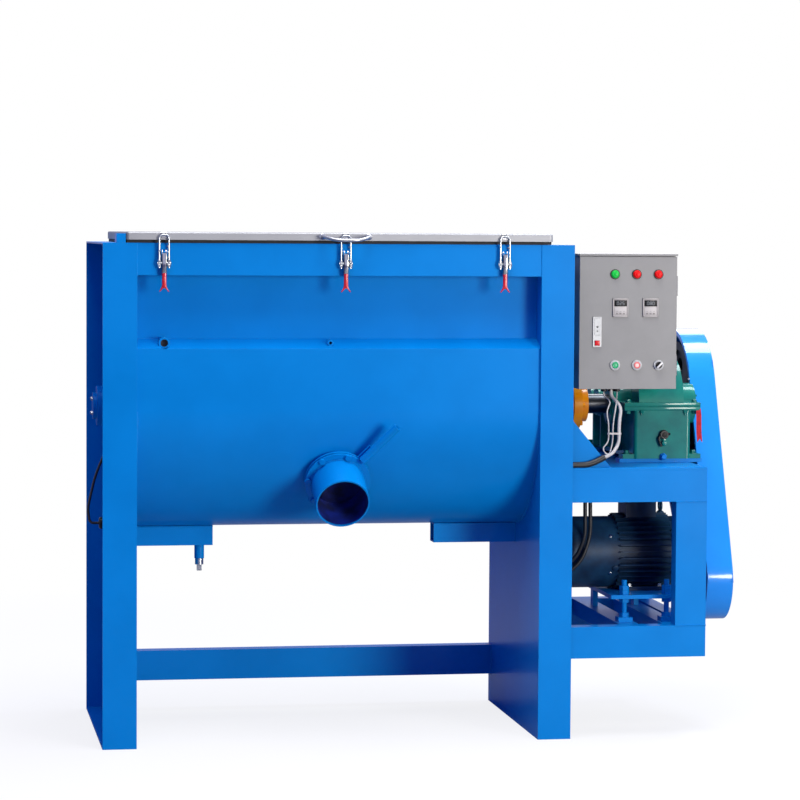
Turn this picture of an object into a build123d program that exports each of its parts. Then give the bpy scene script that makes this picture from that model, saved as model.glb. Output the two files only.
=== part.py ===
from build123d import *
from math import acos, atan2, cos, degrees, radians, sin, sqrt, tan
import os

# Horizontal ribbon blender, in millimetres.
# While it is built, X runs from the left end frame to the belt guard, Y from the front
# plane into the depth, and Z up from the floor. It is written about the middle of its box.

# Turns
quarter_turn = 90
half_turn = 180
full_turn = 360

# Shared clearances
overrun = 5.0  # how far a cutter passes the face that it cuts
running_gap = 0.05  # radial play of a shaft or pin in its bore
moving_gap = 0.5  # between faces that pass each other

# End frames: folded plate trays with their webs against the trough
frame_height = 1480.0
frame_depth = 750.0
post_width = 100.0
frame_plate = 5.0
trough_length = 1200.0

# Rails, tie beam and saddles between the end frames
rail_height = 94.0
rail_depth = 68.0
rail_inset = 2.0
tube_wall = 4.0
tie_depth = 50.0
tie_height = 94.0
tie_floor_gap = 94.0
saddle_size = 60.0
saddle_length = 258.0

# Trough and heating jacket
trough_drop = 495.0  # from the frames' top to the trough's axis
trough_wall = 5.0
jacket_gap = 60.0  # from the trough's wall to the outside of the jacket
jacket_wall = 4.0
jacket_shoulder_rise = 187.0  # above the trough's axis
jacket_top_rise = 215.0
socket_radius = 17.0
socket_bore = 11.0
socket_length = 30.0
socket_rise = 203.0
fill_socket_inset = 81.0  # from the left web
vent_socket_offset = 29.0  # to the left of the middle
vent_radius = 9.0
drain_inset = 225.0
drain_offset = 50.0
drain_radius = 15.0
drain_bore = 11.0
drain_length = 108.0  # below the jacket
drain_plug_radius = 13.0
drain_plug_length = 38.0
drain_square = 14.0

# Discharge spout and its swing gate
spout_shift = 3.0  # to the left of the middle
spout_angle = 27.0
spout_drop = 36.6
spout_bore = 75.0
spout_wall = 4.5
spout_flange_radius = 98.0
spout_flange_plate = 6.0
spout_neck_stand = 11.0  # of the fixed flange off the jacket
spout_length = 116.0
gate_plate = 5.0
gate_overlap = 7.0
gate_pivot_radius = 91.0
gate_pivot_angle = 221.0
gate_hub_radius = 15.0
gate_bolt_radius = 5.0
gate_bolt_circle = 91.0
gate_bolt_angles = (75.0, 125.0, 175.0)
gate_bolt_head = 7.0
gate_lever_angle = 50.0
gate_lever_width = 26.0
gate_lever_end = 150.0
gate_tube_start = 104.0
gate_tube_end = 253.0
gate_tube_radius = 12.0
gate_tube_bore = 9.5

# Main shaft and ribbons
shaft_radius = 35.0
shaft_end_inset = 22.0
ribbon_gap = 5.0
outer_ribbon_width = 42.0
outer_ribbon_slab = 20.0
ribbon_channel = 110.0  # between the outsides of outer and inner ribbons
inner_ribbon_width = 38.0
inner_ribbon_slab = 14.0
ribbon_end_gap = 20.0
ribbon_turns = 1.5
arm_radius = 14.0
arm_weld_gap = 0.5
arm_hub_radius = 46.0
arm_hub_width = 50.0
seal_radius = 62.0
seal_length = 30.0
seal_flange_radius = 78.0
seal_flange_plate = 8.0
bearing_radius = 60.0
bearing_square = 150.0
bearing_base_plate = 16.0
bearing_length = 50.0
bearing_cap_radius = 40.0
bearing_cap_length = 12.0
bearing_bolt_pitch = 112.0
bearing_bolt_head = 11.0
bearing_bolt_height = 9.0
coupling_radius = 80.0
coupling_hub_radius = 55.0
coupling_inset = 18.0  # from the right end frame
coupling_length = 105.0
coupling_flange = 26.0
coupling_gap = 4.0
coupling_bolt_circle = 66.0
coupling_bolt_radius = 9.0
coupling_bolt_count = 6

# Drive frame on the right end frame
drive_span = 419.0
drive_inset = 15.0
drive_tuck = 10.0  # in front of the gearbox's rear
drive_height = 565.0
drive_member = 95.0
drive_member_depth = 50.0
platform_plate = 8.0
motor_beam_width = 60.0
motor_beam_height = 50.0
gusset_reach = 125.0
gusset_rise = 150.0
gusset_plate = 6.0
gusset_inset = 22.0
foot_rail_plate = 12.0
foot_rail_width = 46.0
foot_rail_inset = 30.0

# Gearbox: cast, split at the shaft centres
gear_gap = 118.0  # from the coupling to the case
gear_width = 178.0
gear_front_reach = 163.0  # from the output shaft
gear_rear_reach = 120.0  # from the input shaft
gear_centre_height = 160.0  # of the shafts over the feet
gear_flange_plate = 12.0
gear_flange_reach = 31.0
gear_floor_plate = 14.0
gear_foot_reach = 34.0
gear_foot_width = 52.0
gear_case_radius = 150.0
gear_case_small_radius = 92.0
gear_upper_inset = 18.0
input_offset = 250.0
middle_offset = 150.0
output_boss_radius = 64.0
middle_boss_radius = 46.0
input_boss_radius = 44.0
boss_reach = 38.0
gear_cover_plate = 7.0
gear_bolt_radius = 8.0
gear_bolt_height = 8.0
gear_rib = 10.0
gear_cover_bolt = 4.0
gear_plug_radius = 12.0
output_shaft_radius = 30.0
input_shaft_radius = 16.0

# Belt drive and its guard
guard_gap = 51.0  # from the gearbox case
guard_width = 82.0
guard_wall = 2.5
guard_top_radius = 225.0
guard_low_radius = 130.0
guard_low_shift = 5.0  # behind the motor shaft
guard_low_drop = 85.0  # below the motor shaft
guard_lip = 14.0
guard_bracket = 40.0
driven_pulley_radius = 185.0
motor_pulley_radius = 82.0
pulley_width = 58.0
pulley_inset = 12.0
groove_count = 3
groove_pitch = 19.0
groove_depth = 13.0
groove_top = 17.0
groove_bottom = 11.0
pulley_rim = 12.0
pulley_web = 14.0
pulley_hub_radius = 34.0
belt_height = 10.0
belt_gap = 0.6
pulley_hole_radius = 32.0
pulley_hole_circle = 105.0
pulley_hole_count = 5

# Motor, on a plate hinged at the back and held by two studs
motor_gap = 80.0  # from the belt guard
motor_length = 218.0
motor_drop = 275.0  # of the shaft below the platform
motor_centre_height = 112.0  # of the shaft over the feet
motor_stud_reach = 175.0  # from the shaft to the studs
motor_core_radius = 101.0
motor_fin_radius = 120.0
motor_fin = 3.0
motor_fin_count = 36
motor_shield_radius = 108.0
motor_shield_width = 24.0
motor_shaft_radius = 14.0
motor_foot_width = 30.0
motor_foot_span = 190.0
motor_foot_length = 150.0
motor_foot_plate = 12.0
fan_cover_length = 147.0
fan_cover_wall = 2.0
fan_slot_count = 10
fan_slot_width = 9.0
fan_slot_inner = 30.0
fan_slot_outer = 92.0
terminal_length = 96.0
terminal_depth = 100.0
terminal_height = 58.0
terminal_lid = 6.0
terminal_inset = 56.0
motor_plate = 12.0
motor_plate_overhang = 24.0  # past the motor's fan end
motor_plate_shortfall = 16.0  # short of the motor's shaft end
motor_plate_lip = 25.0  # in front of the studs
motor_plate_rear_reach = 195.0  # behind the motor shaft
motor_hinge_radius = 9.0
motor_hinge_wrap = 8.0
stud_gap = 65.0  # behind the front members
stud_inset = 22.0  # from the motor's fan end
stud_pitch = 133.0
stud_radius = 8.0
stud_rise = 44.0  # above the motor plate
stud_nut_radius = 15.0
stud_nut_height = 13.0
stud_lug = 44.0
stud_lug_height = 14.0

# Control box
box_gap = 30.0  # from the right end frame
box_width = 300.0
box_height = 400.0
box_depth = 150.0
box_drop = 32.0  # below the frames' top
box_rear_gap = 2.0  # in front of the gearbox
box_sheet = 2.0
door_depth = 18.0
door_gap = 1.0
box_hood = 6.0
door_hinge_radius = 4.0
door_hinge_length = 40.0
door_hinge_sink = 1.0
door_hinge_inset = 60.0
box_arm = 40.0
box_arm_plate = 5.0
box_arm_inset = 50.0
box_back_plate = 3.0
contactor_width = 46.0
contactor_depth = 80.0
contactor_height = 86.0
contactor_count = 4
control_bezel_radius = 15.0
control_bezel_height = 5.0
control_body_radius = 12.0
control_body_depth = 42.0
control_cap_radius = 10.0
control_cap_height = 8.0
control_travel = 4.0
lamp_lens_radius = 13.0
lamp_lens_height = 8.0
selector_grip = 7.0
selector_grip_height = 10.0
meter_width = 48.0
meter_height = 56.0
meter_bezel = 5.0
meter_depth = 60.0
meter_window = 34.0
meter_window_height = 18.0
meter_window_rise = 10.0
lock_width = 26.0
lock_height = 90.0
lock_plate = 4.0
lock_button_size = 15.0
lock_button_travel = 2.0
lock_handle_width = 16.0
lock_handle_length = 50.0
lock_handle_plate = 5.0
lock_pocket_gap = 1.5
lock_pin_radius = 1.25
lock_pin_reach = 3.0  # past both sides of the handle
lamp_first = 108.0  # from the box's left side
lamp_pitch = 67.0
lamp_height = 345.0
meter_first = 125.0
meter_pitch = 93.0
meter_centre_height = 245.0
control_first = 110.0
control_pitch = 67.5
control_height = 72.0
lock_x = 54.0
lock_centre_height = 172.0

# Lid
lid_end_reach = 33.0  # past the webs
lid_front_reach = 4.0  # in front of the frames
lid_rear_reach = 6.0
lid_gap = 9.0  # between the frames' top and the skirt
lid_height = 23.0
lid_sheet = 2.5
lid_corner = 10.0
gasket_width = 22.0
gasket_inset = 8.0
lid_stop_length = 27.0
lid_stop_depth = 60.0
bow_span = 138.0
bow_reach = 58.0
bow_drop = 10.0
bow_radius = 5.0
hinge_pitch = 400.0
hinge_out = 20.0  # behind the frames
hinge_rise = 14.0  # above the frames
hinge_pin_radius = 6.0
hinge_knuckle_radius = 11.0
hinge_knuckle = 30.0
hinge_leaf = 5.0

# Toggle latches
latch_left_inset = 77.0  # from the left web
latch_middle_shift = 10.0  # to the right of the middle
latch_right_inset = 114.0  # from the right web
latch_pivot_drop = 26.0  # below the frames' top, as the other drops here
latch_pivot_out = 15.0
latch_pin_radius = 3.0
latch_ear = 2.5
latch_lever_half = 6.5
latch_base_width = 34.0
latch_base_drop = 4.0
latch_base_height = 44.0
latch_base_plate = 3.0
trunnion_drop = 59.0
trunnion_out = 13.0
trunnion_radius = 4.0
bail_rod_radius = 3.0
bail_half = 14.0
bail_rise = 23.0
bail_tail = 14.0
bail_nut = 6.0
lever_depth = 9.0
lever_wall = 2.0
grip_drop = 84.0
grip_length = 44.0
grip_fork_length = 14.0
grip_half = 9.0
grip_fork_half = 15.0
keeper_half = 8.0
keeper_gap = 1.0
keeper_height = 12.0

# Cables and small soft parts
heater_cap_radius = 18.0
heater_cap_offset = 35.0  # in front of the trough's axis
heater_cap_rise = 12.0  # above the jacket's lowest line
heater_cap_length = 83.0
lead_diameter = 8.0
gland_radius = 11.0
gland_length = 22.0
conduit_diameter = 12.0
box_conduit_diameter = 18.0
box_cable_diameter = 10.0
box_wire_diameter = 4.0
tie_band = 1.5
tie_width = 5.0
tie_gap = 0.6
bend_share = 0.45  # of the shorter run beside a bend
tag_width = 16.0
tag_length = 105.0
tag_thickness = 1.2
tag_notch = 12.0
tag_inset = 27.0  # from the gearbox case

heater_lead_points = [  # from the left web's outside, at the heater's cap
    (-22.0, 60.0, 230.0),
    (-50.0, 60.0, 230.0),
    (-90.0, 50.0, 144.0),
    (-116.0, 16.0, 41.0),
    (-110.0, 0.0, 0.0),
    (-83.0, 0.0, 0.0),
]
front_conduit_points = [  # from the right web's outside, at the platform's front edge
    (169.0, 135.0, 0.0),
    (169.0, 135.0, -110.0),
    (172.0, 143.0, -215.0),
    (146.0, 156.0, -282.0),
    (92.0, 169.0, -315.0),
    (0.0, 169.0, -315.0),
]
rear_conduit_points = [
    (191.0, 161.0, 0.0),
    (191.0, 161.0, -110.0),
    (194.0, 165.0, -215.0),
    (164.0, 166.0, -295.0),
    (105.0, 172.0, -339.0),
    (0.0, 172.0, -339.0),
]
box_conduit_points = [
    (0.0, 7.0, 17.5),
    (150.0, 7.0, 17.5),
    (198.0, 8.0, 40.0),
]
box_cable_points = [
    (198.0, 8.0, 40.0),
    (222.0, 8.5, 51.25),
    (245.0, 24.0, 80.0),
    (245.0, 24.0, 140.0),
    (258.0, 50.0, 190.0),
    (233.0, 80.0, 220.0),
    (233.0, 80.0, 243.0),
]
box_wire_points = [
    (212.0, 88.0, 243.0),
    (212.0, 88.0, 220.0),
    (228.0, 60.0, 205.0),
    (208.0, 34.0, 175.0),
    (213.0, 24.0, 140.0),
    (213.0, 24.0, 84.0),
    (190.0, 18.0, 64.0),
    (212.0, 14.0, 42.0),
    (226.0, 24.0, 84.0),
    (226.0, 24.0, 140.0),
    (240.0, 45.0, 190.0),
    (252.0, 84.0, 222.0),
    (252.0, 84.0, 243.0),
]

# Sizes that follow
left_web_x = post_width
right_web_x = left_web_x + trough_length
machine_right = right_web_x + post_width
middle_x = (left_web_x + right_web_x) / 2
axis_y = frame_depth / 2
axis_z = frame_height - trough_drop
trough_outer = axis_y - rail_inset - rail_depth
trough_radius = trough_outer - trough_wall
rail_low = frame_height - rail_height
jacket_radius = trough_outer + jacket_gap
jacket_shoulder_height = axis_z + jacket_shoulder_rise
jacket_top_height = axis_z + jacket_top_rise
socket_height = axis_z + socket_rise
fill_socket_x = left_web_x + fill_socket_inset
vent_socket_x = middle_x - vent_socket_offset
drain_x = left_web_x + drain_inset
drain_end_height = axis_z - jacket_radius - drain_length
spout_x = middle_x - spout_shift
spout_neck_reach = jacket_radius + spout_neck_stand
coupling_start = machine_right + coupling_inset
coupling_end = coupling_start + coupling_length
foot_rail_top = axis_z - gear_centre_height
platform_top = foot_rail_top - foot_rail_plate
drive_top = platform_top - platform_plate
drive_low = drive_top - drive_height
drive_right = machine_right + drive_span
gear_left = coupling_end + gear_gap
gear_right = gear_left + gear_width
gear_front = axis_y - gear_front_reach
input_y = axis_y + input_offset
middle_y = axis_y + middle_offset
gear_rear = input_y + gear_rear_reach
drive_rear = gear_rear - drive_tuck
guard_left = gear_right + guard_gap
guard_right = guard_left + guard_width
stud_y = drive_inset + drive_member_depth + stud_gap
motor_y = stud_y + motor_stud_reach
motor_height = drive_top - motor_drop
motor_body_right = guard_left - motor_gap
motor_body_left = motor_body_right - motor_length
fan_cover_left = motor_body_left - fan_cover_length
terminal_left = motor_body_left + terminal_inset
motor_plate_top = motor_height - motor_centre_height
motor_plate_left = motor_body_left - motor_plate_overhang
motor_plate_right = motor_body_right - motor_plate_shortfall
motor_plate_front = stud_y - motor_plate_lip
motor_plate_rear = motor_y + motor_plate_rear_reach
stud_left_x = motor_body_left + stud_inset
stud_right_x = stud_left_x + stud_pitch
stud_top_height = motor_plate_top + stud_rise
guard_low_y = motor_y + guard_low_shift
guard_low_height = motor_height - guard_low_drop
box_left = machine_right + box_gap
box_right = box_left + box_width
box_rear = gear_front - box_rear_gap
box_front = box_rear - box_depth
box_top = frame_height - box_drop
box_bottom = box_top - box_height
door_rear = box_front + door_depth
lamp_xs = [lamp_first + n * lamp_pitch for n in range(3)]
meter_xs = [meter_first + n * meter_pitch for n in range(2)]
control_xs = [control_first + n * control_pitch for n in range(3)]
spout_outer = spout_bore + spout_wall
gate_radius = spout_bore + gate_overlap
gate_low = spout_neck_reach + spout_flange_plate + moving_gap
gate_high = gate_low + gate_plate
spout_flange_low = gate_high + moving_gap
spout_pipe_low = spout_flange_low + spout_flange_plate
spout_mouth = spout_pipe_low + spout_length
rail_face_y = rail_inset
ribbon_length = trough_length - 2 * ribbon_end_gap
outer_ribbon_radius = trough_radius - ribbon_gap
inner_ribbon_radius = outer_ribbon_radius - ribbon_channel
pulley_left = guard_left + pulley_inset
pulley_right = pulley_left + pulley_width
door_axis_x = box_right + door_hinge_radius - door_hinge_sink
door_hinge_heights = (box_bottom + door_hinge_inset, box_top - door_hinge_inset - door_hinge_length)
lid_left = left_web_x - lid_end_reach
lid_right = right_web_x + lid_end_reach
lid_front = -lid_front_reach
lid_rear = frame_depth + lid_rear_reach
lid_bottom = frame_height + lid_gap
lid_top = lid_bottom + lid_height
hinge_xs = [middle_x + n * hinge_pitch for n in (-1, 0, 1)]
hinge_axis_y = frame_depth + hinge_out
hinge_axis_height = frame_height + hinge_rise
latch_xs = [left_web_x + latch_left_inset, middle_x + latch_middle_shift, right_web_x - latch_right_inset]
latch_pivot_height = frame_height - latch_pivot_drop
latch_base_top = frame_height - latch_base_drop
latch_base_low = latch_base_top - latch_base_height
trunnion_height = frame_height - trunnion_drop
bail_top_height = frame_height + bail_rise
grip_top_height = frame_height - grip_drop
grip_split_height = grip_top_height - grip_length
grip_low_height = grip_split_height - grip_fork_length
heater_cap_y = axis_y - heater_cap_offset
heater_cap_height = axis_z - jacket_radius + heater_cap_rise
lead_origin = (left_web_x - frame_plate, heater_cap_y, heater_cap_height)
conduit_origin = (right_web_x + frame_plate, drive_inset, drive_top)


def block(xs, ys, zs):
    """Box between two ranges of each axis."""
    size = [abs(high - low) for low, high in (xs, ys, zs)]
    middle = [(low + high) / 2 for low, high in (xs, ys, zs)]
    return Pos(*middle) * Box(*size)


def rod(start, end, radius):
    """Round bar between two points."""
    run = Vector(*end) - Vector(*start)
    place = Plane(origin=start, z_dir=run)
    return place * Cylinder(radius, run.length, align=(Align.CENTER, Align.CENTER, Align.MIN))


def rod_x(x_low, x_high, y, z, radius):
    """Round bar along X."""
    return rod((x_low, y, z), (x_high, y, z), radius)


def hexagon_x(x_start, x_end, y, z, radius):
    """Hexagon bar along X, given by the circle round its corners."""
    return Pos(0, y, z) * prism_x(RegularPolygon(radius, 6), min(x_start, x_end), max(x_start, x_end))


def pipe_x(x_low, x_high, y, z, outer, inner):
    """Round tube along X."""
    return rod_x(x_low, x_high, y, z, outer) - rod_x(x_low - overrun, x_high + overrun, y, z, inner)


def beam(xs, ys, zs, along):
    """Rectangular hollow section, open at both ends, along axis 0, 1 or 2."""
    ranges = [xs, ys, zs]
    inner = [
        (low - overrun, high + overrun) if n == along else (low + tube_wall, high - tube_wall)
        for n, (low, high) in enumerate(ranges)
    ]
    return block(*ranges) - block(*inner)


def prism_x(face, x_low, x_high):
    """A face drawn in Y and Z, drawn out along X."""
    return Pos(x_low, 0, 0) * extrude(Plane.YZ * face, amount=x_high - x_low, dir=(1, 0, 0))


def turned(points, y, z):
    """A profile of (x, radius) points turned about the X direction through y, z."""
    return Pos(0, y, z) * revolve(make_face(Polyline(*points, close=True)), Axis.X, full_turn)


def group(*shapes):
    """Separate solids kept side by side in one node."""
    solids = []
    for shape in shapes:
        solids.extend(shape.solids())
    return Compound(children=solids)


def belt_outline(first, first_radius, second, second_radius):
    """Outline of a belt round two circles, each given as its centre in Y and Z."""
    away = atan2(second[1] - first[1], second[0] - first[0])
    distance = sqrt((second[0] - first[0]) ** 2 + (second[1] - first[1]) ** 2)
    spread = acos((first_radius - second_radius) / distance)

    def at(centre, radius, angle):
        return centre[0] + radius * cos(angle), centre[1] + radius * sin(angle)

    first_up = at(first, first_radius, away + spread)
    first_down = at(first, first_radius, away - spread)
    second_up = at(second, second_radius, away + spread)
    second_down = at(second, second_radius, away - spread)
    return make_face([
        Line(first_up, second_up),
        ThreePointArc(second_up, at(second, second_radius, away), second_down),
        Line(second_down, first_down),
        ThreePointArc(first_down, at(first, first_radius, away + radians(half_turn)), first_up),
    ])


def cord_tube(name, points, diameter, origin=(0, 0, 0)):
    """A tube of straight runs joined by arcs, each as large as its two runs allow."""
    corners = [Vector(*point) + Vector(*origin) for point in points]
    radii = []
    for before, corner, after in zip(corners, corners[1:], corners[2:]):
        turn = (corner - before).get_angle(after - corner)
        shorter = min((corner - before).length, (after - corner).length)
        radii.append(bend_share * shorter / tan(radians(turn) / 2))
    path = FilletPolyline(*corners, radius=radii)
    section = Plane(origin=path @ 0, z_dir=path % 0) * Circle(diameter / 2)
    tube = sweep(section, path=path)
    print(name, "length", round(path.length, 1), "radii", [round(radius, 1) for radius in radii])
    return tube


def end_frame(inner_x, side):
    """Folded plate tray: web beside the trough, flanges turned outwards all round."""
    outer_x = inner_x + side * post_width
    tray = block((inner_x, outer_x), (0, frame_depth), (0, frame_height))
    pocket = block(
        (inner_x + side * frame_plate, outer_x + side * overrun),
        (frame_plate, frame_depth - frame_plate),
        (frame_plate, frame_height - frame_plate),
    )
    hole = rod_x(inner_x - overrun - frame_plate, inner_x + overrun + frame_plate,
                 axis_y, axis_z, seal_radius + moving_gap)
    return tray - pocket - hole


def frame_beams():
    """Top rails, rear tie beam and the two saddles under the trough."""
    span = (left_web_x, right_web_x)
    rail_rear = frame_depth - rail_inset
    saddle_top = axis_z - jacket_radius
    saddle_ys = (axis_y - saddle_size / 2, axis_y + saddle_size / 2)
    saddle_zs = (saddle_top - saddle_size, saddle_top)
    return group(
        beam(span, (rail_inset, rail_inset + rail_depth), (rail_low, frame_height), 0),
        beam(span, (rail_rear - rail_depth, rail_rear), (rail_low, frame_height), 0),
        beam(span, (frame_depth - tie_depth, frame_depth), (tie_floor_gap, tie_floor_gap + tie_height), 0),
        beam((left_web_x, left_web_x + saddle_length), saddle_ys, saddle_zs, 0),
        beam((right_web_x - saddle_length, right_web_x), saddle_ys, saddle_zs, 0),
    )


def u_face(radius, top):
    """U section of the trough: half round below the axis, straight above it."""
    return Pos(axis_y, axis_z) * Circle(radius) + Pos(axis_y, (axis_z + top) / 2) * Rectangle(
        2 * radius, top - axis_z
    )


def spout_frame(along):
    """Plane across the spout, at a distance from the foot of the trough axis on it."""
    slope = radians(spout_angle)
    foot_y = axis_y + spout_drop * sin(slope)
    foot_z = axis_z - spout_drop * cos(slope)
    centre = (spout_x, foot_y - along * cos(slope), foot_z - along * sin(slope))
    return Plane(origin=centre, x_dir=(1, 0, 0), z_dir=(0, -cos(slope), -sin(slope)))


def spout_disc(low, high, radius):
    """Round slab about the spout's axis."""
    return spout_frame(low) * Cylinder(
        radius, high - low, align=(Align.CENTER, Align.CENTER, Align.MIN)
    )


def trough_shell():
    """Mixing trough, a U of plate between the two webs."""
    wall = prism_x(u_face(trough_outer, frame_height), left_web_x, right_web_x)
    room = prism_x(u_face(trough_radius, frame_height + overrun), left_web_x - overrun, right_web_x + overrun)
    return wall - room - spout_disc(0, spout_mouth, spout_outer)


def jacket_face(radius, shoulder, top):
    """Section of the jacket: half round, straight sides, and a sloping closing plate."""
    upper = make_face(Polyline(
        (axis_y - radius, axis_z),
        (axis_y - radius, shoulder),
        (axis_y - trough_outer, top),
        (axis_y + trough_outer, top),
        (axis_y + radius, shoulder),
        (axis_y + radius, axis_z),
        close=True,
    ))
    return Pos(axis_y, axis_z) * Circle(radius) + upper


def socket(x, radius, bore):
    """Short threaded socket that stands out of the jacket's closing plate."""
    slope_y = axis_y - (jacket_radius + trough_outer) / 2
    front = slope_y - socket_length / 2
    rear = slope_y + socket_length / 2
    body = rod((x, front, socket_height), (x, rear, socket_height), radius)
    return body - rod((x, front - overrun, socket_height), (x, rear - jacket_wall, socket_height), bore)


def drain_reach(radius):
    """Height of the jacket's outside beside the drain stub."""
    return axis_z - sqrt(radius ** 2 - drain_offset ** 2)


def jacket():
    """Oil jacket round the lower trough, closed against it by a sloping plate."""
    slope = atan2(jacket_top_height - jacket_shoulder_height, jacket_radius - trough_outer)
    drop = jacket_wall / cos(slope)
    inner_radius = jacket_radius - jacket_wall
    inner_shoulder = jacket_shoulder_height + jacket_wall * tan(slope) - drop
    skin = prism_x(jacket_face(jacket_radius, jacket_shoulder_height, jacket_top_height),
                   left_web_x, right_web_x)
    room = prism_x(jacket_face(inner_radius, inner_shoulder, jacket_top_height - drop),
                   left_web_x - overrun, right_web_x + overrun)
    trough = prism_x(u_face(trough_outer, frame_height), left_web_x - overrun, right_web_x + overrun)
    skin = skin - room - trough - spout_disc(0, spout_mouth, spout_outer)
    for x, radius in ((fill_socket_x, socket_radius), (vent_socket_x, vent_radius)):
        skin -= rod((x, 0, socket_height), (x, axis_y - trough_outer, socket_height), radius)
    skin -= rod((drain_x, axis_y + drain_offset, drain_end_height),
                (drain_x, axis_y + drain_offset, axis_z - trough_outer), drain_radius)
    return skin


def jacket_fittings():
    """Fill socket, vent plug and drain stub of the jacket."""
    drain_y = axis_y + drain_offset
    drain_top = drain_reach(jacket_radius - jacket_wall)
    stub = rod((drain_x, drain_y, drain_end_height), (drain_x, drain_y, drain_top), drain_radius)
    stub -= rod((drain_x, drain_y, drain_end_height - overrun),
                (drain_x, drain_y, drain_top + overrun), drain_bore)
    return group(
        socket(fill_socket_x, socket_radius, socket_bore),
        socket(vent_socket_x, vent_radius, vent_radius / 2),
        stub,
    )


def drain_plug():
    """Plated plug with a square head, screwed up into the drain stub."""
    drain_y = axis_y + drain_offset
    collar_low = drain_end_height - drain_plug_length / 2
    collar = rod((drain_x, drain_y, collar_low), (drain_x, drain_y, drain_end_height), drain_plug_radius)
    stem = rod((drain_x, drain_y, drain_end_height),
               (drain_x, drain_y, drain_end_height + drain_plug_length / 2), drain_bore)
    half = drain_square / 2
    head = block((drain_x - half, drain_x + half), (drain_y - half, drain_y + half),
                 (drain_end_height - drain_plug_length, collar_low))
    return collar + stem + head


def spout_neck():
    """Pipe welded through trough and jacket, with the fixed flange of the gate."""
    neck = spout_disc(0, spout_neck_reach, spout_outer)
    neck -= prism_x(u_face(trough_radius, frame_height), left_web_x, right_web_x)
    neck += spout_disc(spout_neck_reach, spout_neck_reach + spout_flange_plate, spout_flange_radius)
    neck -= spout_disc(0, spout_mouth, spout_bore)
    neck = neck.solids().sort_by(SortBy.VOLUME)[-1]
    for angle in gate_bolt_angles:
        neck -= gate_bolt_shaft(angle, gate_bolt_circle, gate_bolt_radius)
    return neck - gate_bolt_shaft(gate_pivot_angle, gate_pivot_radius, gate_bolt_radius)


def gate_bolt_shaft(angle, circle, radius):
    """Shank of one bolt through both flanges."""
    place = spout_frame(spout_neck_reach) * Pos(circle * cos(radians(angle)), circle * sin(radians(angle)))
    reach = spout_pipe_low - spout_neck_reach
    return place * Cylinder(radius, reach, align=(Align.CENTER, Align.CENTER, Align.MIN))


def spout_pipe():
    """Outer flange and the open discharge pipe."""
    pipe = spout_disc(spout_pipe_low, spout_mouth, spout_outer)
    pipe += spout_disc(spout_flange_low, spout_pipe_low, spout_flange_radius)
    pipe -= spout_disc(0, spout_mouth + overrun, spout_bore)
    for angle in gate_bolt_angles:
        pipe -= gate_bolt_shaft(angle, gate_bolt_circle, gate_bolt_radius)
    return pipe - gate_bolt_shaft(gate_pivot_angle, gate_pivot_radius, gate_bolt_radius)


def gate_bolts():
    """Clamping bolts with spacer sleeves, and the bolt that the gate turns on."""
    pieces = []
    places = [(angle, gate_bolt_circle) for angle in gate_bolt_angles]
    places.append((gate_pivot_angle, gate_pivot_radius))
    for angle, circle in places:
        bolt = gate_bolt_shaft(angle, circle, gate_bolt_radius)
        at = (circle * cos(radians(angle)), circle * sin(radians(angle)))
        head = spout_frame(spout_pipe_low) * Pos(*at) * extrude(
            RegularPolygon(gate_bolt_head + gate_bolt_radius / 2, 6), amount=gate_bolt_head
        )
        bolt += head
        if angle != gate_pivot_angle:
            sleeve_low = spout_neck_reach + spout_flange_plate
            bolt += spout_frame(sleeve_low) * Pos(*at) * Cylinder(
                gate_bolt_radius + running_gap, spout_flange_low - sleeve_low,
                align=(Align.CENTER, Align.CENTER, Align.MIN),
            )
        pieces.append(bolt)
    return group(*pieces)


def swing_gate():
    """Gate disc between the flanges, its pivot eye, lever strap and tube handle."""
    pivot = (gate_pivot_radius * cos(radians(gate_pivot_angle)),
             gate_pivot_radius * sin(radians(gate_pivot_angle)))
    outline = Circle(gate_radius) + Pos(*pivot) * Circle(gate_hub_radius)
    bridge = Rot(0, 0, gate_pivot_angle) * Pos(gate_pivot_radius / 2, 0) * Rectangle(
        gate_pivot_radius, 2 * gate_hub_radius
    )
    strap = Rot(0, 0, gate_lever_angle) * Pos(gate_lever_end / 2, 0) * Rectangle(
        gate_lever_end, gate_lever_width
    )
    outline = outline + bridge + strap - Pos(*pivot) * Circle(gate_bolt_radius + running_gap)
    disc = extrude(outline, amount=gate_plate)
    tube = Rot(0, 0, gate_lever_angle) * Pos(gate_tube_start, 0, gate_plate + gate_tube_radius) * Rot(
        0, quarter_turn, 0
    ) * (
        Cylinder(gate_tube_radius, gate_tube_end - gate_tube_start,
                 align=(Align.CENTER, Align.CENTER, Align.MIN))
        - Pos(0, 0, gate_plate) * Cylinder(gate_tube_bore, gate_tube_end,
                                            align=(Align.CENTER, Align.CENTER, Align.MIN))
    )
    return spout_frame(gate_low) * group(disc, tube)


def main_shaft():
    """Mixer shaft, and the gearbox's output shaft that its coupling joins."""
    joint_x = (coupling_start + coupling_end) / 2
    mixer = rod_x(shaft_end_inset, joint_x - coupling_gap / 2, axis_y, axis_z, shaft_radius)
    output = rod_x(joint_x + coupling_gap / 2, gear_right, axis_y, axis_z, output_shaft_radius)
    return group(mixer, output)


def ribbon(radius, width, slab, start_angle, turn):
    """One helical ribbon: a radial bar section twisted along the shaft."""
    section = Plane.YZ * (
        Rot(0, 0, start_angle) * Pos(radius - width / 2, 0) * Rectangle(width, slab)
    )
    face = section.faces()[0]
    strip = Solid.extrude_linear_with_rotation(
        face, center=(0, 0, 0), normal=(ribbon_length, 0, 0), angle=turn
    )
    return Pos(left_web_x + ribbon_end_gap, axis_y, axis_z) * strip


def outer_ribbons():
    """Two outer ribbons, half a turn apart."""
    turn = full_turn * ribbon_turns
    return group(*[
        ribbon(outer_ribbon_radius, outer_ribbon_width, outer_ribbon_slab, start, turn)
        for start in (0, half_turn)
    ])


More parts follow.
